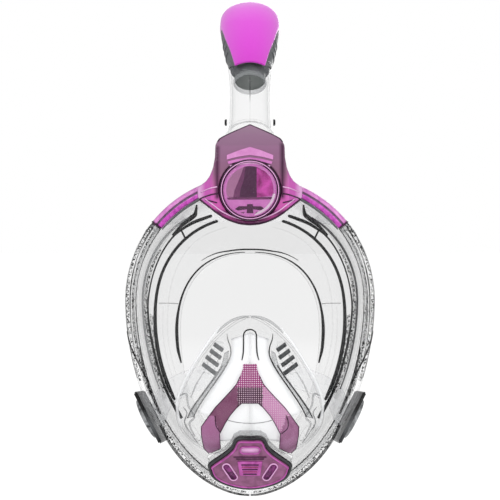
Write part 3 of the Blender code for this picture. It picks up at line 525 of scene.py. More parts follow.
def on_skirt(t, u, lift=0):
    """The skirt's front at angle t, and at share u of the way from the rim to the face opening."""
    below = max(i for i, row in enumerate(SKIRT_ROWS) if row[0] <= max(u, 0))
    here, there = SKIRT_ROWS[below], SKIRT_ROWS[min(below + 1, len(SKIRT_ROWS) - 1)]
    s = (u - here[0]) / (there[0] - here[0]) if there[0] > here[0] else 0
    depth, forward = mix(here[1], there[1], s), mix(here[2], there[2], s)
    (xr, zr), (xo, zo) = rim(t, 11.2), opening(t)
    front = rim_y(t) + 5
    seal = 10 * (rim(t)[0] / 99) ** 2
    return mix(xr, xo, u), mix(front, seal, depth) - forward - lift, mix(zr, zo, u)


def pocket_y(x, z):
    high, power = (78, 1.5) if z > -66 else (38, 2)
    across = (abs(x) / 59.4) ** power + (abs(z + 66) / high) ** power
    return -67 + 35 * across ** (3.5 / power)


def on_pocket(x, z, lift=0):
    return x, pocket_y(x, z) - lift, z


def on_snorkel(x, n, h):
    """Across, to the front, and up the snorkel's axis."""
    return x, -27 - 0.809 * n + 0.5878 * h, 150 + 0.5878 * n + 0.809 * h


def on_chin(x, up, n):
    return x, -66 - 0.4695 * up - 0.8829 * n, -99 + 0.8829 * up - 0.4695 * n


def turn(steps, start=0, end=2 * pi):
    return [start + (end - start) * i / steps for i in range(steps)]


# ---------------- visor


def socket_front(grow=0):
    half = [(0, 81.5), (8, 82.3), (17, 85.2), (24, 89.3), (30.5, 94.5), (40, 102.6), (40.5, 111), (33.7, 115),
        (30.4, 119), (28, 125), (26.6, 133), (26.4, 143), (24, 148.5), (0, 161.5)]
    return both_sides([(x * (1 + grow), 120 + (z - 120) * (1 + grow)) for x, z in half])


CHIN_HALF = [(0, 25.6), (8, 25.6), (12.2, 22.4), (14.8, 16), (20, 10.2), (31, 0.6), (32, -4), (28, -14), (16, -21.4),
    (0, -24.6)]


def shrink(outline, inset):
    """The outline moved inwards."""
    points = [Vector(p) for p in outline]
    centre = Vector((0, -2))
    moved = []
    for i, here in enumerate(points):
        before, after = points[i - 1], points[(i + 1) % len(points)]
        edge = ((here - before).normalized() + (after - here).normalized()).normalized()
        inward = Vector((edge.y, -edge.x))
        if inward.dot(centre - here) < 0:
            inward = -inward
        moved.append(tuple(here + inward * inset))
    return moved


def chin_ring(inset, steps=4):
    return spline(shrink(both_sides(CHIN_HALF), inset), steps, True)


def make_visor():
    rows = [[on_rim(t, inset, -back) for t in turn(144)] for inset,
        back in ((4.8, 2.2), (4.8, 2.6), (7, 2.7), (9.2, 2.7), (10.2, 3))]
    for k in range(26):
        share = 1 - k / 26 if k < 25 else 0.04
        row = []
        for t in turn(144):
            x, z = rim(t, 10.5)
            row.append((x * share, -96 + (rim_y(t) - 3.6 + 96) * share ** 3.2, mix(10, z, share)))
        rows.append(row)
    visor = settle(thick(piece("visor-shell", dome(rows, (0, -96, 10)), GLASS, instead=("visor",)), 2, 0))
    cut(visor, prism(socket_front(0.01), lambda a, b, n: (a, -n, b), 45, 110))
    cut(visor, prism(chin_ring(-0.5), on_chin, -12, 12))


make_visor()

# ---------------- rim

RIM_SECTION = [(0, -5.2), (1, -7.8), (2.6, -9), (3.6, -8.9), (4.2, -8.2), (4.8, -8.2), (5.4, -8.9), (8.3, -9),
    (9, -8.2), (9, -4), (4, -4), (4, 4), (9, 4), (9, 8.4), (8.3, 9), (2.6, 9), (0.8, 7.6), (0, 5.2)]


def sweep_rim(name, start, end, steps, looks, pick=None, instead=()):
    rows, uv = [], []
    for i in range(steps + 1):
        t = mix(start, end, i / steps)
        rows.append([on_rim(t, r, y) for r, y in RIM_SECTION])
        uv += [(t / (2 * pi), j / len(RIM_SECTION)) for j in range(len(RIM_SECTION))]
    shape = lattice(rows, caps=True)
    last = len(shape[1]) - 2
    choice = [pick(j % len(RIM_SECTION)) if j < last else 0 for j in range(last + 2)] if pick else None
    return piece(name, shape, looks, instead=instead, pick=choice, uv=uv)


ARM = radians(39.5)
clear_rim = sweep_rim("rim-clear", pi - ARM, 2 * pi + ARM, 220, RIM, instead=("lower_frame",))
bevel(cut(clear_rim, prism(chin_ring(-0.6), on_chin, -7, 40)), 0.25, 1, 25)
sweep_rim("rim-arms", ARM + 0.004, pi - ARM - 0.004, 110, [LILAC, MAUVE_LINE, HOT],
    lambda j: 1 if j in (3, 4, 5) else 2 if j in (6, 7, 8) else 0, ("upper_frame",))

# ---------------- skirt and its moulded lines

rows = [[on_rim(t, inset, 2.1) for t in turn(168)] for inset in (5.4, 9.6)]
rows += [[on_skirt(t, row[0]) for t in turn(168)] for row in SKIRT_ROWS[::2]]
thick(piece("skirt-body", lattice(rows), SKIN, instead=("skirt",)), 1.5)


def skirt_line(name, points, radius, look, lift=0.5, right_look=None):
    """A line on the skirt from (degrees, share, radius scale), with its twin on the other side."""
    twin_bead(name, points, radius, lambda side, a, u: on_skirt(radians(180 - a if side > 0 else a), u, lift), look,
        right_look=right_look, flatten=0.7)


skirt_line("skirt-brow-lip", [(113, 0.262, 1), (118, 0.246, 1.1), (125, 0.21, 1.1), (131, 0.186, 0.9),
    (140, 0.157, 0.6), (160, 0.158, 0.5), (172, 0.15, 0.5), (182, 0.128, 0.6), (190, 0.137, 0.7), (200, 0.156, 0.8),
    (210, 0.165, 0.9), (218, 0.18, 1), (223, 0.2, 1.3), (226, 0.21, 0.9)], 1.25, SKIN_LINE)
skirt_line("skirt-channel-tip", [(119, 0.018, 0.6), (120.5, 0.075, 1), (122, 0.118, 1.4), (125, 0.128, 1.5),
    (129, 0.128, 1.3), (134, 0.13, 0.9), (139, 0.13, 0.5)], 1.3, SKIN_LINE)
skirt_line("skirt-channel-haze", [(126, 0.1, 0.8), (132, 0.082, 1), (140, 0.066, 1.1), (152, 0.05, 1.1),
    (166, 0.04, 1), (182, 0.036, 0.9), (198, 0.04, 0.8), (212, 0.05, 0.5)], 0.85, SKIN_MID, right_look=SKIN_DENSE)
skirt_line("skirt-channel-specks", [(150, 0.105, 0.6), (166, 0.095, 0.8), (184, 0.085, 1), (200, 0.1, 1.2),
    (214, 0.12, 0.9)], 1.6, SPECKLE)
skirt_line("skirt-channel", [(110, 0.385, 1), (120, 0.372, 1), (132, 0.357, 1), (152, 0.339, 1), (172, 0.326, 1.05),
    (180, 0.312, 1.15), (190, 0.281, 1.3), (200, 0.273, 1.4), (208, 0.282, 1.45), (213, 0.298, 1.3),
    (217.5, 0.312, 0.9)], 1.2, SKIN_LINE)
skirt_line("skirt-tick", [(133, 0.2, 1), (133, 0.34, 1)], 0.75, SKIN_LINE)
skirt_line("skirt-seam", [(176, 0.41, 1), (172, 0.62, 1), (166, 0.9, 1)], 0.32, SKIN_THIN)
skirt_line("skirt-fold", [(104, 0.535, 1), (127, 0.52, 1), (140, 0.55, 1), (152, 0.596, 1), (167, 0.638, 1),
    (175, 0.656, 1), (183, 0.642, 1), (190, 0.65, 1), (200, 0.69, 1), (206, 0.73, 0.6)], 0.5, SKIN)
skirt_line("skirt-fold-low", [(176, 0.53, 0.6), (190, 0.495, 1), (200, 0.513, 1), (210, 0.56, 0.6)], 0.5, SKIN)
skirt_line("skirt-brow", [(90, 0.953, 0.9), (98, 0.948, 0.9), (105, 0.94, 0.8), (115, 0.907, 0.6), (128, 0.877, 0.3)],
    0.72, SKIN_LINE, 0.9)
skirt_line("skirt-lip", [(93, 0.998, 0.35), (105, 0.99, 0.5), (115, 0.98, 0.6), (132, 0.963, 0.8), (152, 0.953, 0.9),
    (167, 0.944, 1.1), (176, 0.93, 1.4), (182, 0.92, 1.6), (189, 0.93, 1.5), (192, 0.958, 1.2), (195, 0.99, 0.8)],
    0.85, SKIN_LINE, 0.9)


def skirt_panel(name, start, end, low, high, look, lift=0.8):
    """A shallow translucent pad on the skirt between two shares, on both sides."""
    for label, side in SIDES:
        rows = []
        for i in range(31):
            a = radians(mix(start, end, i / 30))
            rows.append([on_skirt(pi - a if side > 0 else a, mix(low(i / 30), high(i / 30), j / 6),
                lift * sin(pi * j / 6)) for j in range(7)])
        thick(piece(f"{name}-{label}", lattice(rows, around=False), look), 0.5, 0)


skirt_panel("skirt-channel-shade", 184, 219, lambda s: 0.168, lambda s: 0.255 + 0.02 * s, HATCH, 0.5)
skirt_panel("skirt-channel-wall", 128, 216, lambda s: 0.03, lambda s: 0.1 + 0.02 * s, SKIN)

# ---------------- dark lines in the rim


# name, radius, look and points of (degrees, inset, depth, radius scale)
RIM_LINES = [
    ("groove", 0.62, RIM_LINE, [(143, 3.4, -8.2, 1.2), (150, 3.8, -8.3, 0.8), (158, 3.9, -8.3, 0.5),
        (168, 4.3, -8.3, 0.9), (180, 4.4, -8.3, 0.8), (190, 4.2, -8.3, 0.5), (200, 4.2, -8.3, 0.4)]),
    ("outer", 0.5, RIM_LINE, [(141, 1.2, -7.4, 1), (150, 1, -7.2, 0.6), (165, 0.9, -7, 0.4), (185, 0.9, -7, 0.5),
        (205, 0.9, -7, 0.5)]),
    ("inner", 0.5, RIM_LINE, [(141, 9, -8.2, 0.6), (150, 9.1, -8.2, 0.8), (170, 9.2, -8.2, 0.5), (190, 9.1, -8.2, 0.7),
        (205, 9, -8.2, 0.6)]),
    ("speckle", 1.3, SPECKLE, [(141.5, 1.9, -8, 1.2), (146, 2, -8.2, 1.5), (150, 2.1, -8.3, 1.1),
        (160, 2.1, -8.4, 0.8), (172, 2.2, -8.4, 0.9), (184, 2.4, -8.5, 1), (196, 2.6, -8.6, 1),
        (206, 2.8, -8.6, 0.9)]),
    ("speckle-inner", 1.1, SPECKLE,
        [(143, 6, -8.7, 0.6), (152, 6.3, -8.7, 0.8), (170, 6.6, -8.7, 0.6), (188, 6.6, -8.7, 1), (206, 6.6, -8.7, 1.1),
        (212, 6.6, -8.7, 0.6)]),
    ("speckle-jaw", 1.3, SPECKLE, [(222, 5, -8.7, 0.8), (232, 4.6, -8.7, 1.1), (244, 4, -8.7, 1),
        (256, 3.6, -8.7, 0.8), (268, 3.4, -8.7, 0.7)]),
    ("notch", 0.62, RIM_LINE, [(190, 0.4, -7.2, 0.6), (194, 1.4, -8.6, 1), (198, 3.6, -9.1, 1.1), (203, 6.4, -9.3, 1),
        (208, 8.8, -9.2, 0.7)]),
    ("arm-end", 0.75, PLUM, [(140.7, 0.2, -6, 1), (140.7, 2, -8.6, 1.1), (140.7, 8.6, -9.1, 1.1)]),
    ("arm-foot", 0.9, SMOKE, [(140.4, 10, -8.4, 0.6), (134, 10.2, -8.4, 0.9), (126, 10.2, -8.4, 1),
        (118, 10, -8.6, 1.2), (115, 9.2, -9.2, 1.5)]),
    ("jaw", 0.85, RIM_LINE, [(222, 3.2, -8.6, 0.8), (228, 2.4, -8.7, 1.2), (236, 1.6, -8, 1.3), (246, 1.4, -8, 1.2),
        (256, 1.2, -8, 1), (264, 1, -8, 1), (269.5, 1, -8, 0.8)]),
    ("jaw-inner", 0.6, RIM_LINE, [(222, 9, -8.4, 0.9), (232, 9.2, -8.4, 0.6), (242, 9.2, -8.4, 0.9),
        (250, 9, -8.4, 0.5)]),
    ("side-shadow", 0.75, RIM_LINE,
        [(196, 8.6, -9, 0.6), (203, 8.4, -9.1, 1.2), (211, 8.2, -9.1, 1.5), (219, 8, -9.1, 1)]),
]
for name, radius, look, points in RIM_LINES:
    place = lambda side, a, r, y: on_rim(radians(180 - a if side > 0 else a), r, y)
    twin_bead(f"rim-{name}", points, radius, place, look)

# ---------------- the pocket for the nose and mouth


def pocket_place(x, z, turned=0):
    """A frame on the pocket whose third axis points out of it, as a function of (a, b, n)."""
    origin = Vector((x, pocket_y(x, z), z))
    up = Vector((0, pocket_y(x, z + 0.5) - pocket_y(x, z - 0.5), 1)).normalized()
    out = Vector((1, pocket_y(x + 0.5, z) - pocket_y(x - 0.5, z), 0)).cross(up).normalized()
    if out.y > 0:
        out = -out
    across = up.cross(out)
    c, s = cos(turned), sin(turned)
    first, second = across * c + up * s, up * c - across * s
    return lambda a, b, n: tuple(origin + first * a + second * b + out * n)


def make_pocket():
    def ring(scale, y=None):
        row = []
        for t in turn(96):
            c, s = cos(t), sin(t)
            high, power = (78, 1.5) if s >= 0 else (38, 2)
            x = 59.4 * scale * copysign(abs(c) ** (2 / power), c)
            z = -66 + high * scale * copysign(abs(s) ** (2 / power), s)
            row.append((x, pocket_y(x, z) if y is None else y, z))
        return row

    rows = [ring(scale, y) for scale, y in spline([(0.6, -7), (0.63, -20), (0.96, -31)], 4)]
    rows += [ring(scale) for scale in (0.99, 0.97, 0.93, 0.88, 0.82, 0.74, 0.66, 0.56, 0.46, 0.36, 0.25, 0.14)]
    shape = dome(rows, (0, -67, -66))
    sleeve = 8 * 96
    body = piece("pocket-body", shape, [SKIN, GHOST], instead=("nose_pocket",),
        pick=[int(i < sleeve) for i in range(len(shape[1]))])
    settle(thick(body, 1.6))
    window = [(-5.3, -11.3), (5.3, -11.3), (5.3, 11.3), (-5.3, 11.3)]
    for side in (1, -1):
        cut(body, prism(window, pocket_place(side * 29, -22, side * radians(27)), -6, 6))
        cut(body, prism(disc(8.2), pocket_place(side * 45, -80), -6, 6))
    cut(body, prism(disc(14.6), on_chin, -31, 0))


make_pocket()


def pocket_line(name, points, radius, look, lift=0.4, twin=True, twin_look=None):
    twin_bead(name, points, radius, lambda side, x, z: on_pocket(-side * x, z, lift), look, twin, twin_look)


NOSE = [(-6.2, -21.5, 0.7), (-5.2, -16, 1), (-5, -8, 1), (-4.9, -3, 1), (-3.4, -0.2, 1), (0, 0.9, 1), (3.4, -0.2, 1),
    (4.9, -3, 1), (5, -8, 1), (5.4, -16, 1), (6.8, -21.5, 0.7)]
pocket_line("nose-bridge", NOSE, 0.55, SKIN_LINE, 0.9, twin=False)
STRUT = [(-18, -3, 0.5), (-17.2, -7.4, 0.8), (-15.2, -12.4, 1), (-15, -18, 1), (-17.6, -24.6, 1), (-23, -33.4, 1),
    (-30, -43.4, 1), (-38.6, -56.4, 1), (-43.6, -66, 0.8)]
pocket_line("pocket-strut", STRUT, 0.5, SKIN_THIN, 0.8, twin_look=SKIN_LINE)
pocket_line("pocket-strut-outer", [(x - 2.4 - 0.06 * abs(x), z - 1.5, s) for x, z, s in STRUT[4:]], 0.5, SKIN_THIN,
    0.8, twin_look=SKIN_LINE)
pocket_line("pocket-crown", [(-26, -3, 0.5), (-22, 1.4, 1), (-15, 6.6, 1.2), (-7, 9.6, 1.2), (-1, 10.2, 0.8)], 0.9,
    SKIN_HAZE, 0.6)
# The pocket wall's bead is drawn in glowing white silicone, a painted glow.
pocket_line("pocket-wall", [(24, 2, 0.5), (33, -10, 1), (42, -24, 1), (50, -38, 1.1), (56, -52, 1.2), (57.5, -62, 1),
    (54, -76, 0.8)], 1.1, SKIN_GLOW, 0.6)
pocket_line("valve-wall", [(55, -52, 0.6), (50, -50, 1), (48, -58, 1), (43, -66, 1), (47, -72, 1), (43, -82, 0.8)],
    0.8, SKIN_HAZE, 0.5)
pocket_line("valve-lip", [(52, -60, 0.6), (49, -64, 1), (51, -72, 1), (46, -80, 0.8), (41, -88, 0.6)], 0.5, SKIN_MID,
    0.5)
pocket_line("pocket-chin-fold", [(-23, -64.5, 0.6), (-12, -68, 1), (0, -69, 1), (12, -68, 1), (23, -64.5, 0.6)], 0.3,
    SKIN_THIN, 0.8, twin=False)
pocket_line("sleeve-line", [(36, -32, 0.6), (42, -42, 1), (46, -52, 0.8)], 0.6, SKIN_HAZE, 0.5)


def ribbon(rows, lift, steps=3):
    """A ribbon on the pocket from rows of (inner x, inner z, outer x, outer z)."""
    fine = spline(rows, steps)
    return [[on_pocket(mix(a, c, j / 4), mix(b, d, j / 4), lift) for j in range(5)] for a, b, c, d in fine]


STRUT_BAND = [(-16.4, -15, -19.6, -17), (-17.6, -24.6, -22.6, -27), (-23, -33.4, -29, -36.4), (-30, -43.4, -36.5, -47),
    (-38.6, -56.4, -45.5, -60), (-43.6, -66, -49, -68)]
PANEL = [(0.2, -1.5, -14.5, -6.5), (0, -12, -14, -14), (0, -23, -15, -20), (-7.5, -34, -17.5, -26),
    (-12.5, -47.5, -25.5, -38.5), (-20.5, -57.5, -33.5, -50.5), (-28.5, -65.5, -40, -62)]
UNDER_PANEL = [(0.2, -48, -8, -48), (0.2, -56, -14, -56), (0.2, -64, -22, -66), (0.2, -72, -26, -75),
    (0.2, -80, -24, -84)]
# The panels and the under-panels are drawn in glowing white silicone, painted light.
RIBBONS = (("under-panel", UNDER_PANEL, 0.35, SKIN_GLOW), ("band", STRUT_BAND, 0.6, SKIN_HAZE),
    ("panel", PANEL, 0.35, SKIN_GLOW))
for label, side in (("left", 1), ("right", -1)):
    for name, edges, lift, look in RIBBONS:
        rows = [[(side * x, y, z) for x, y, z in row] for row in ribbon(edges, lift)]
        thick(piece(f"pocket-{name}-{label}", lattice(rows, around=False), look), 0.5, 0)

# ---------------- inhale grilles and side valves

VENT_SLOTS = ((24.6, -13, 9.4), (26.8, -18.2, 11), (29.4, -23.4, 12.6), (31.6, -29.2, 13.6))
# Each slot gets a solid fill that stands in for the shade inside it, painted lighter grey on the left and darker on
# the right.
for (label, side), bar in zip(SIDES, (SLOT_GREY, SLOT_DARK)):
    crisp(f"vent_grille_{label}", SKIN, 0.3)
    for i, (x, z, length) in enumerate(VENT_SLOTS):
        corners = []
        for along, over in ((-1, -1), (-0.33, -1), (0.33, -1), (1, -1), (1, 1), (0.33, 1), (-0.33, 1), (-1, 1)):
            a, b = along * (length / 2 - 0.4), over * 1.65
            corners.append((side * (x + 0.87 * a - 0.49 * b), z + 0.49 * a + 0.87 * b))
        bevel(piece(f"vent-slot-{label}-{i}", prism(corners, on_pocket, 1, 2.4), bar), 0.35)
    for node in ("inhale_flap", "exhale_flap"):
        crisp(f"{node}_{label}", GHOST, 0.15, f"{node}_{label}")
    crisp(f"exhale_seat_{label}", SKIN, 0.3)

# ---------------- the magenta trim over the pocket

TRIM_ROWS = [(0, 5.3, -24, -24), (0, 5.5, -29, -28.2), (0, 7.6, -36, -33.4), (0, 10.1, -45, -38.9),
    (0, 13.9, -53.6, -43.5), (6.3, 20.3, -53.6, -50.4), (10.3, 26.6, -57.2, -57.1), (15.2, 32.3, -63, -64.9),
    (18.9, 37.4, -69, -72.4), (23.1, 37.4, -77.3, -78.3), (22.5, 35.8, -89.5, -91.4), (30.4, 32.2, -95.2, -95.9)]


def trim_y(x, z):
    return pocket_y(0.95 * x, mix(-66, z, 0.95)) - 2.8


def dotted(name, base, deep, dot, amount):
    """Pink plastic with a fine grid of white dots, which are raised in its bump as well."""
    look = Tree(bpy.data.materials.new(name))
    where = look.add("TexCoord").outputs["Object"]
    colour = look.ramp(look.noise(where, 60, 3), [(0.35, deep), (0.65, base)])
    cells = look.add("Mapping", {"Vector": where, "Scale": (620, 1, 620)}).outputs[0]
    split = look.add("SeparateXYZ", {"Vector": cells})
    waves = [look.maths("COSINE", look.maths("MULTIPLY", split.outputs[axis], 2 * pi)) for axis in ("X", "Z")]
    both = look.maths("ADD", *waves)
    colour = look.blend(look.remap(both, 0.5, 1, 0, amount), colour, dot)
    return look.done(MAGENTA_PART, Base_Color=colour, Normal=look.bump(both, 0.25), Specular_IOR_Level=0.35,
        Roughness=look.remap(look.noise(where, 2000), 0.25, 0.75, 0.22, 0.36))


TRIM_STEM = dotted("trim_pink_dotted", "ad3f88", "a2367c", "ffe6f8", 0.9)
TRIM_DARK = dotted("trim_dark_dotted", "55304a", "4a2a3c", "e6c4da", 0.9)
# The trim's middle and tip have a version for each side, differing in painted light and shade.
TRIM_MAUVE = plastic("trim_mauve", "80496a", "925c7c", "6a3e58", 3, 0.3, 0.3, patch=90)
TRIM_LIGHT = dotted("trim_light_dotted", "d892c2", "cf84b6", "fff0fa", 0.6)
TRIM_TIP = plastic("trim_tip", "b470a0", "c488b4", "96608a", 3, 0.25, 0.3)
TRIM_TIP_DARK = plastic("trim_tip_dark", "84446c", "c48ab4", "703c62", 3, 0.25, 0.3, patch=60)


def make_trim():
    between = 6
    rows = []
    for here, there in zip(TRIM_ROWS, TRIM_ROWS[1:]):
        rows += [tuple(mix(a, b, k / between) for a, b in zip(here, there)) for k in range(between)]
    rows.append(TRIM_ROWS[-1])
    for label, side in SIDES:
        lines = []
        for inner_x, outer_x, inner_z, outer_z in rows:
            line = []
            for s in (j / 12 for j in range(13)):
                x, z = mix(inner_x, outer_x, s), mix(inner_z, outer_z, s)
                crown = 0.5 * (1 - (2 * s - 1) ** 4) if inner_x > 0 else 0.5 * (1 - s ** 4)
                line.append((side * x, trim_y(x, z) - crown, z))
            lines.append(line)
        verts, faces = lattice(lines, around=False)
        zones = []
        for face in faces:
            x, z = (sum(abs(verts[i][k]) for i in face) / 4 for k in (0, 2))
            if z < 41.5:
                zones.append(0)
            elif x < 9.4 and z < 56:
                zones.append(1)
            else:
                zones.append(3 if z > 76.5 or z > 63 and x > 28.1 - 0.35 * (z - 62.8) else 2)
        # The right half's middle is painted lighter and its tip darker than the left half's: painted light and shade,
        # not a difference in the trim's colour.
        middle, tip = (TRIM_MAUVE, TRIM_TIP) if side < 0 else (TRIM_LIGHT, TRIM_TIP_DARK)
        half = piece(f"trim-{label}", (verts, faces), [TRIM_STEM, TRIM_DARK, middle, tip], pick=zones,
            instead=("nose_trim",) if side < 0 else ())
        settle(thick(half, 1.5, 1 if half.data.polygons[0].normal.y > 0 else -1))
        bevel(half, 0.35, 2, 50)
        for name, column, start in (("edge", 1, 2), ("inner-edge", 0, 4)):
            line = [(side * row[column], trim_y(row[column], row[column + 2]) - 0.3,
                row[column + 2]) for row in rows[start * between:]]
            bead(f"trim-{name}-{label}", line, 0.26, PLUM)
        seam = spline([(26.5, -63.5), (26.2, -68), (25.6, -71.5), (22.6, -76)] if side < 0 else [(27.5, -63),
            (29, -67.5), (28.5, -73), (24, -77)], 5)
        bead(f"trim-seam-{label}", [(side * x, trim_y(x, z) - 0.75, z) for x, z in seam], 0.28, PLUM)


make_trim()

# ---------------- chin valve

CHIN_MAUVE = plastic("chin_mauve", "6f3f5c", "965a84", "4c2440", 2.4, 0.2, 0.35, patch=150)
CHIN_PINK = plastic("chin_pink", "983c86", "c05cae", "6a2a62", 2.4, 0.18, 0.35, patch=170)
CHIN_RED = plastic("chin_rib", "7c3450", "a84076", "5a2844", 2.4, 0.3, 0.3, patch=200)
CHIN_SLOT = plastic("chin_slot", "3c0f36", "8e3a80", "200a1c", 2, 0.25, 0.3, patch=330, slot=SMOKE_PART)
BEZEL = plastic("bezel_smoke", "1c1c1e", "3a3c3e", "0a0a0b", 2, 0.22, 0.35, patch=60, slot=SMOKE_PART)


def chin_band(name, outer, inner, low, high, look, crown=0.5, instead=()):
    """A ring that follows the chin outline between two insets."""
    section = [(inner, low), (outer, low), (outer, high - crown), (mix(outer, inner, 0.25), high),
        (mix(outer, inner, 0.75), high), (inner, high - crown)]
    rings = [[on_chin(a, b, n) for a, b in chin_ring(inset)] for inset, n in section]
    return piece(name, lattice(rings, loop=True), look, instead=instead)


chin_band("chin-bezel", 0.2, 2.6, 0.35, 3.4, BEZEL, instead=("chin_bezel",))
chin_band("chin-inner-lip", 3, 4.2, 3.6, 4.9, CHIN_PINK)


rows = [[on_chin(a, b, n) for a, b in chin_ring(inset)] for inset,
    n in ((4.6, 0.4), (2.8, 0.4), (2.8, 3.8), (3.3, 4.3), (5.5, 4.6))]
rows += [[on_chin(a * share, mix(-1, b, share), 4.6 + 0.5 * (1 - share)) for a,
    b in chin_ring(5.5)] for share in (0.75, 0.5, 0.25)]
piece("chin-cover", dome(rows, on_chin(0, -1, 5.1)), CHIN_MAUVE, instead=("chin_cover",))
SLOTS = [(0, 15.2, 0, 7, 2.6), (-15.2, -5.4, radians(-62), 8, 2.4), (15.2, -5.4, radians(62), 8, 2.4)]


def oblong(x, y, angle, half, wide, steps=8):
    """A slot with round ends."""
    points = []
    for end in (1, -1):
        for k in range(steps + 1):
            a = pi * (k / steps - 0.5) + (0 if end > 0 else pi)
            p = (end * (half - wide) + wide * cos(a), wide * sin(a))
            points.append((x + p[0] * cos(angle) - p[1] * sin(angle), y + p[0] * sin(angle) + p[1] * cos(angle)))
    return points


for index, (x, y, angle, half, wide) in enumerate(SLOTS):
    rings = [[on_chin(a, b, n) for a, b in oblong(x, y, angle, half + grow, wide + grow)] for grow,
        n in ((0, 4.4), (0.9, 4.4), (1.1, 5.4), (0.6, 5.9), (0.1, 5.5))]
    piece(f"chin-slot-rim-{index}", lattice(rings, loop=True), PALE_PINK if index else CHIN_PINK)
    piece(f"chin-slot-floor-{index}", prism(oblong(x, y, angle, half + 0.2, wide + 0.2), on_chin, 4.3, 5.2),
        CHIN_SLOT if index else PALE_PINK)


def chin_plate(name, y, tall, top_width, low_width, low, high, look, rounding):
    outline = [(-top_width, y), (top_width, y), (low_width, y - tall), (-low_width, y - tall)]
    bevel(piece(name, prism(outline, on_chin, low, high), look), rounding)


chin_plate("chin-panel", 5, 13.5, 9.5, 7.8, 5, 5.9, CHIN_PINK, 0.4)
for i in range(5):
    width = 6.6 - 0.35 * i
    chin_plate(f"chin-rib-{i}", 2.6 - 2.2 * i, 0.9, width, width, 5.8, 6.4, CHIN_RED if i % 2 else PLUM, 0.2)
for i, (y, width) in enumerate(((9.2, 12.5), (7.3, 10.5))):
    chin_plate(f"chin-line-{i}", y, 0.6, width, width, 4.9, 5.5, PLUM, 0.15)

crisp("chin_housing", SKIN_BAND, 0.4)
crisp("exhale_valve_seat", SKIN_BAND, 0.2)
crisp("exhale_membrane", SMOKE, 0.2, "exhale_membrane")

# ---------------- snorkel socket

crisp("snorkel_socket", MAUVE, name="socket-shell", soften=(1, 7))


SOCKET_FRONT = [(80, -64), (85, -72), (92, -75), (130, -75), (142, -70), (153, -57), (162, -43)]
BUTTON_AT = (0, 108)
BUTTON_HOLE = 23.6


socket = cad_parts["snorkel_socket"]
SOCKET_SURFACE = BVHTree.FromPolygons([socket.matrix_world @ v.co for v in socket.data.vertices],
    [tuple(p.vertices) for p in socket.data.polygons])


def on_socket(x, z, n=0):
    """A point on the socket's front, and level with it over the button's hole."""
    if dist((x, z), BUTTON_AT) > BUTTON_HOLE:
        for share in (1, 0.99, 0.98, 0.96, 0.94, 0.9):
            hit = SOCKET_SURFACE.ray_cast(Vector((x * share * MM, -0.2, z * MM)), Vector((0, 1, 0)))[0]
            if hit:
                return x * share, hit.y / MM - n, z
    for (z0, y0), (z1, y1) in zip(SOCKET_FRONT, SOCKET_FRONT[1:]):
        if z <= z1:
            return x, mix(y0, y1, max((z - z0) / (z1 - z0), 0)) - n, z
    return x, SOCKET_FRONT[-1][1] - n, z


def socket_plate(name, outline, look):
    """A raised plate on the socket's front."""
    points = []
    for here, there in zip(outline, outline[1:] + outline[:1]):
        points += [(mix(here[0], there[0], k / 3), mix(here[1], there[1], k / 3)) for k in range(3)]
    bevel(piece(name, prism(points, on_socket, -0.2, 0.6), look), 0.3, 2, 50)


CHEVRON = plastic("chevron_pink", "bb74ad", "cb8abf", "a0628f", 2, 0.25, 0.3, patch=120)
socket_plate("socket-chevron", [(0, 141), (-8, 138.5), (-17.6, 134.6), (-17.6, 131), (-9, 133.2), (0, 134.6),
    (9, 133.2), (17.6, 131), (17.6, 134.6), (8, 138.5)], CHEVRON)
socket_plate("socket-louvre-upper",
    [(-17, 129.6), (-9, 131.6), (0, 132.8), (9, 131.6), (17, 129.6), (16.2, 127.6), (9, 129.4), (0, 130.6),
    (-9, 129.4), (-16.2, 127.6)], PINK)
socket_plate("socket-louvre-lower",
    [(-15.5, 126.6), (-8, 128.4), (0, 129.2), (8, 128.4), (15.5, 126.6), (14.6, 125), (8, 126.8), (0, 127.6),
    (-8, 126.8), (-14.6, 125)], PALE_PINK)


def socket_bead(name, points, radius, look, n=0):
    twin_bead(name, [(x, z, 1) for x, z in points], radius, lambda side, x, z: on_socket(side * x, z, n), look)


socket_bead("socket-gable", [(0, 160.4), (8, 156.4), (16, 152.2), (22.5, 148.2), (24.6, 145.4)], 0.6, PLUM, -0.4)
socket_bead("socket-side", [(25.2, 143), (25.4, 135), (26.4, 127), (26, 118), (25, 112)], 0.8, PLUM, -1.6)
socket_bead("socket-ear-groove", [(24.4, 105.5), (30, 104.4), (36, 102.8), (40, 101)], 0.55, PLUM, 0.1)
socket_bead("socket-ear-glint", [(25, 110.5), (31, 109.2), (37.5, 107)], 0.5, PALE_PINK, 0.1)
socket_bead("socket-ear-shadow", [(25, 98.5), (29, 99.5), (34, 101)], 0.5, PLUM, 0.1)
socket_bead("socket-bowl", [(38, 101), (30, 94.6), (23.4, 89.6), (16.6, 85.8), (8, 83), (0, 82.2)], 0.7, PLUM, 0.2)
socket_bead("socket-bowl-inner", [(34, 101.6), (28, 97), (22, 92.4), (15, 88.8), (7.6, 86.4), (0, 85.6)], 0.55,
    PALE_PINK, 0.3)

# ---------------- round lock button


def lathe(profile):
    """Rings on the button's axis from (radius, n)."""
    return [[on_button(a, b, n) for a, b in disc(r, 72)] for r, n in profile]


def on_button(a, b, n):
    return a, -75 - n, 108 + b


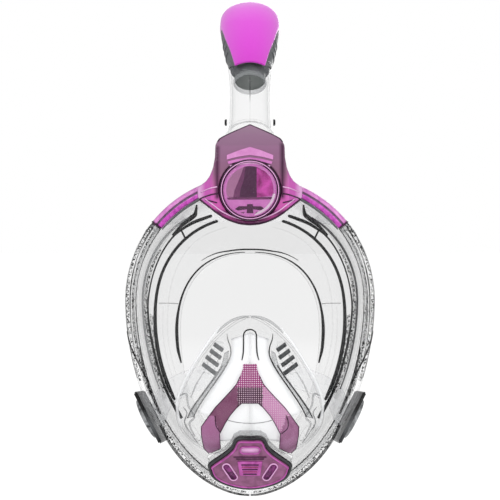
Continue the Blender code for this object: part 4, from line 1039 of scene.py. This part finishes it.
piece("lock-ring", lattice(lathe([(20.95, -6.1), (23.2, -6.1), (23.2, 0.8), (22.9, 1.5), (22.3, 1.9), (21.7, 1.7),
    (21.1, 1), (20.95, 0.4)]), loop=True), PLUM, instead=("button_ring",))
piece("lock-ring-lip", lattice(lathe([(21.2, 1.2), (22, 1.7), (21.9, 2.2), (21.4, 2.1)]), loop=True), PALE_PINK)
piece("lock-button", lattice(lathe([(2.6, -7.6), (2.6, -2.7), (20.2, -2.6), (20.6, -2.2), (20.6, 0.1), (20.2, 0.6),
    (18.4, 0.5), (17.6, 0.1), (9, 0), (0.4, 0)]), caps=True), PINK, "lock_button", ("lock_button",))


def inlay(name, outline, look, n=0.35):
    bevel(piece(name, prism(outline, on_button, -0.3, n), look, "lock_button"), 0.12, 1, 50)


DISC_MAUVE = plastic("disc_mauve", "8f6080", "9c6d8c", "6a4460", 3, 0.25, 0.3)
DISC_DARK = plastic("disc_dark", "2a1426", "3f2236", "180a16", 2, 0.25, 0.3)
DISC_HOT = plastic("disc_hot", "6e1850", "c24aa4", "66184c", 2, 0.2, 0.35, patch=120)
DISC_DUSK = plastic("disc_dusk", "4a2440", "6c3c5e", "3a1a32", 2, 0.2, 0.35, patch=160)
inlay("lock-face-left", [(-17.2, 6), (-14, 11.5), (-9.5, 15.4), (-4.6, 17.6), (-6.2, 8), (-9.4, 0), (-10.8, -6),
    (-17, -5), (-18.2, 0)], DISC_MAUVE, 0.3)
inlay("lock-face-core", [(-4.6, 17.6), (0, 18.2), (5, 17.6), (5, 10), (5, 0), (5, -5.6), (-10.8, -6), (-9.4, 0),
    (-6.2, 8)], DISC_DARK, 0.4)
inlay("lock-face-core-side", [(-4.6, 17.6), (-3.4, 17.8), (-4.6, 8), (-7.2, 0), (-8, -6), (-12.8, -6), (-11.6, 0),
    (-8.2, 8)], DISC_DUSK, 0.5)
inlay("lock-face-right", [(5, 17.6), (11.6, 14), (15.6, 9.4), (17.4, 4), (17.8, -4), (5, -5.6), (5, 6)], DISC_HOT,
    0.45)
inlay("lock-face-band", [(-17.2, -5.6), (17.6, -5.2), (17.4, -6.9), (-17.2, -7.2)], DISC_DUSK, 0.5)
inlay("lock-face-foot", [(-11.6, -14.4), (-8.4, -12.2), (-2.4, -12.2), (-2, -10.6), (2, -10.6), (2.4, -12.2),
    (8.4, -12.2), (11.4, -14.4), (9, -15.4), (2.2, -14.4), (2.6, -17.4), (-2.6, -17.4), (-2.2, -14.4), (-9, -15.4)],
    DISC_DARK, 0.5)
crescent = [(19.4 * cos(a), 19.4 * sin(a)) for a in turn(13, radians(-82), radians(-2))]
crescent += [(16.6 * cos(a) + 0.8, 16.6 * sin(a) - 0.4) for a in turn(13, radians(-8), radians(-76))]
GLARE = plastic("lens_glint", "e9d3e6", "f4e6f2", rough=0.15, alpha=(0.7, 0.9))
inlay("lock-face-glint", crescent, GLARE, 0.7)
for side in (-1, 1):
    inlay(f"lock-face-toe-{1 + (side > 0)}",
        [(side * 4.2, -16.4), (side * 10.6, -17.2), (side * 9, -18.4), (side * 4.6, -18)], DISC_DUSK, 0.5)
LENS = clear("lens_clear", "b070a8", "4a2446", (0.04, 0.6), 3, 0.03, 0.4)
lens = lathe([(20.4, 0.5), (20.3, 1), (19.2, 1.5), (16, 2), (11, 2.35), (5, 2.55), (0.4, 2.6)])
thick(piece("lock-lens", lattice(lens), LENS, "lock_button"), 0.4)
coil = [on_button(5 * cos(k * pi / 14), 5 * sin(k * pi / 14), mix(-11, -3.3, k / 84)) for k in range(85)]
spring = bead("button-spring", coil, 0.45, STEEL)
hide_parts("button_spring")
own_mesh(spring)

# ---------------- snorkel


def snorkel_ring(a, b, h, steps=64):
    return [on_snorkel(a * x, b * y, h) for x, y in disc(1, steps)]


def snorkel_shell(name, rings, look, wall, instead=(), body="snorkel", smooth=4):
    """A tube on the snorkel's axis from (half width, half depth, height)."""
    fine = spline(rings, smooth) if smooth else rings
    rows = [snorkel_ring(*ring) for ring in fine]
    rows += [snorkel_ring(a - wall, b - wall, h) for a, b, h in reversed(fine)]
    return piece(name, lattice(rows, loop=True), look, body, instead)


snorkel_shell("tube-shell", [(17.8, 15.8, 6.4), (16.9, 15, 18), (16.5, 14.7, 40), (17, 15, 60), (18.6, 16.4, 82)],
    TUBE, 1.6, ("snorkel_tube",))
snorkel_shell("tube-foot", [(18.1, 16.1, 6.6), (18.3, 16.3, 7.6), (18.1, 16.1, 8.6)], TUBE, 0.9)
snorkel_shell("tube-collar", [(16.4, 13.4, -16), (16.4, 13.4, 0.2), (19.6, 17.4, 0.5), (19.6, 17.4, 3.4),
    (18.4, 16.4, 6)], TUBE, 3.8, ("tube_collar",), smooth=0)
for label, side in SIDES:
    rows = []
    for h, wide in ((1, 2.6), (14, 2.6), (19, 2.4), (21.4, 1.4)):
        near, far = side * 18.2, side * 19.6
        rows.append([on_snorkel(x, n, h) for x, n in ((near, -wide), (far, -wide), (far, wide), (near, wide))])
    bevel(piece(f"collar-arm-{label}", lattice(rows, caps=True), TUBE, "snorkel"), 0.4)
    knob = [[on_snorkel(side * (18.7 + d), r * cos(a), 19.2 + r * sin(a)) for a in turn(24)] for d,
        r in ((0, 2.6), (1.2, 2.6), (1.7, 2.1), (1.8, 1))]
    piece(f"collar-knob-{label}", lattice(knob, caps=True), BLACK, "snorkel")
divider = [[on_snorkel(x, n, h) for x, n in ((-0.6, -12.4), (0.6, -12.4), (0.6, 12.4), (-0.6, 12.4))] for h in (7, 20,
    44)]
bevel(piece("tube-wall", lattice(divider, caps=True), TUBE, "snorkel", ("tube_divider",)), 0.2)
bead("tube-wall-edge", [on_snorkel(0, 12.6, h) for h in (30, 36, 42, 45, 52, 60)], [0.1, 0.25, 0.4, 0.45, 0.3, 0.1],
    SKIN_THIN, "snorkel")

snorkel_shell("throat", [(12.6, 11.4, 67), (13, 11.8, 75), (14, 12.4, 76.4), (16.2, 14, 77.2), (16.3, 14.1, 82),
    (16.6, 15.2, 83.4), (17.4, 16.2, 88), (20.2, 17.2, 104), (22.2, 17.6, 116)], SMOKE, 1.6, ("dry_top_body",))
# A grey disc that glows a little closes the throat's open mouth: painted shade standing in for the dark inside of the
# tube, where no part is.
plate = [snorkel_ring(12.5 * r, 11.3 * r, 66.7 - 0.9 * (1 - r * r)) for r in (1, 0.9, 0.7, 0.5, 0.2, 0.02)]
THROAT_SHADE = plastic("throat_shade_disc", "5c605e", "6a6e6c", rough=0.5, gloss=0.1, glow=0.14, slot=SMOKE_PART)
thick(piece("throat-shade-disc", lattice(plate), THROAT_SHADE, "snorkel"), 0.6)
snorkel_shell("throat-lip", [(13, 11.8, 66.2), (13.6, 12.4, 65.6), (13.8, 12.6, 62.4), (13.2, 12, 61.6)], SKIN_HAZE, 1)
snorkel_shell("float-seat", [(18.7, 14.6, 109), (18.8, 14.7, 111)], SMOKE, 9, ("float_seat",), smooth=0)
snorkel_shell("float-body", [(12.2, 12.2, 85.6), (12.6, 12.6, 86.2), (12.6, 12.6, 95.4), (12.2, 12.2, 96)],
    WHITE_RUBBER, 4, ("float",), "float_ring", 0)
snorkel_shell("float-seal", [(12.6, 12.6, 96.3), (12.6, 12.6, 97.6)], BLACK, 4.2, ("float_seal",),
    "float_ring", 0)

CAP_RINGS = [(19.9, 18.6, 70), (21.6, 19.6, 88), (23.7, 20.4, 104), (25.4, 20.8, 120), (25.8, 20.6, 132),
    (24.6, 18.8, 140), (20, 15, 145), (11, 8, 148), (3, 2.2, 148.8)]


def below(height):
    """A box round everything under a height, for level lower edges."""
    corners = [(-60, -60), (60, -60), (60, 120), (-60, 120)]
    return prism(corners, lambda a, b, n: (a, b, n), 120, height)


def make_cap():
    fine = spline(CAP_RINGS, 6)
    rows = [snorkel_ring(a, b, h, 96) for a, b, h in fine]
    rows += [snorkel_ring(max(a - 1.5, 0.5), max(b - 1.5, 0.4), h - (1.6 if h > 146 else 0.8 if h > 139 else 0),
        96) for a, b, h in reversed(fine)]
    cap = piece("cap-shell", lattice(rows, loop=True), MAGENTA, "snorkel", ("dry_top_cap",))
    edge = [(10.6, 60), (13.2, 74), (16.6, 90), (20.8, 106), (24.2, 121), (27, 131), (38, 131), (38, 60)]
    for side in (-1, 1):
        cut(cap, lattice([[on_snorkel(side * x, n, h) for x, h in edge] for n in (-32, 32)], caps=True))
    bevel(cut(cap, below(214.6)), 0.4, 3, 35)


make_cap()
cheeks = [(16.4, 16.2, 71), (19.4, 18.2, 88), (22.4, 19.5, 104), (24.7, 20, 118), (25.3, 20, 130)]
cut(snorkel_shell("cap-cheeks", cheeks, SMOKE, 0.7), below(215.4))
for label, side in SIDES:
    for i in range(3):
        h = 90 + 7 * i
        wide = 20.3 + 0.18 * (h - 90)
        fin = [on_snorkel(side * wide * cos(a), 18.8 * sin(a), h + 1.5) for a in turn(9, -0.42, 0.5)]
        bead(f"inlet-fin-{label}-{i}", fin, 0.45, SMOKE, "snorkel")

# ---------------- clips and harness

CLIP = plastic("clip_nylon", "0c0c0e", "2a2a2c", "303234", 1.6, 0.3, 0.3, patch=500,
    stops=((-96, "040404"), (-87, "040404"), (-84, "26282a"), (-73, "5c5e60"), (-63, "26282a"), (-61, "050506"),
    (-48, "040404")), slot=NYLON_PART)
for label, side in SIDES:
    crisp(f"strap_clip_{label}", CLIP, 0.5, f"strap_clip_{label}")
    crisp(f"clip_button_{label}", GREY, 0.5, f"clip_button_{label}")
    crisp(f"strap_post_{label}", BLACK, 0.2)
    crisp(f"strap_anchor_{label}", SKIN_BAND, 0.5)
    crisp(f"strap_tail_{label}", STRAP, 0.3, f"strap_clip_{label}")
for node in ("upper_strap", "lower_strap"):
    crisp(node, STRAP, 0.4)
for node, look in (("frame_dowel_left", STEEL), ("frame_dowel_right", STEEL), ("visor_seal", SKIN_BAND),
        ("tube_seal", BLACK)):
    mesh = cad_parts[node].data
    mesh.materials.clear()
    mesh.materials.append(look)

# ---------------- floor and size


def paper():
    """Pale backdrop paper that gives back the studio's even light."""
    look = Tree(bpy.data.materials.new("floor_paper"))
    fibres = look.ramp(look.noise(look.add("TexCoord").outputs["Object"], 300), [(0.3, "5c5c5c"), (0.7, "626262")])
    return look.done("", Base_Color=fibres, Roughness=0.9, Specular_IOR_Level=0, Emission_Color=tint("ffffff"),
        Emission_Strength=0.965)


FLOOR_HALF = 60
low = CAD_BOX[0][2] - 0.004
floor_mesh = bpy.data.meshes.new("floor")
floor_mesh.from_pydata([(x * FLOOR_HALF, y * FLOOR_HALF, low) for x, y in ((-1, -1), (1, -1), (1, 1), (-1, 1))], [],
    [(0, 1, 2, 3)])
floor_mesh.materials.append(paper())
put("floor", floor_mesh)
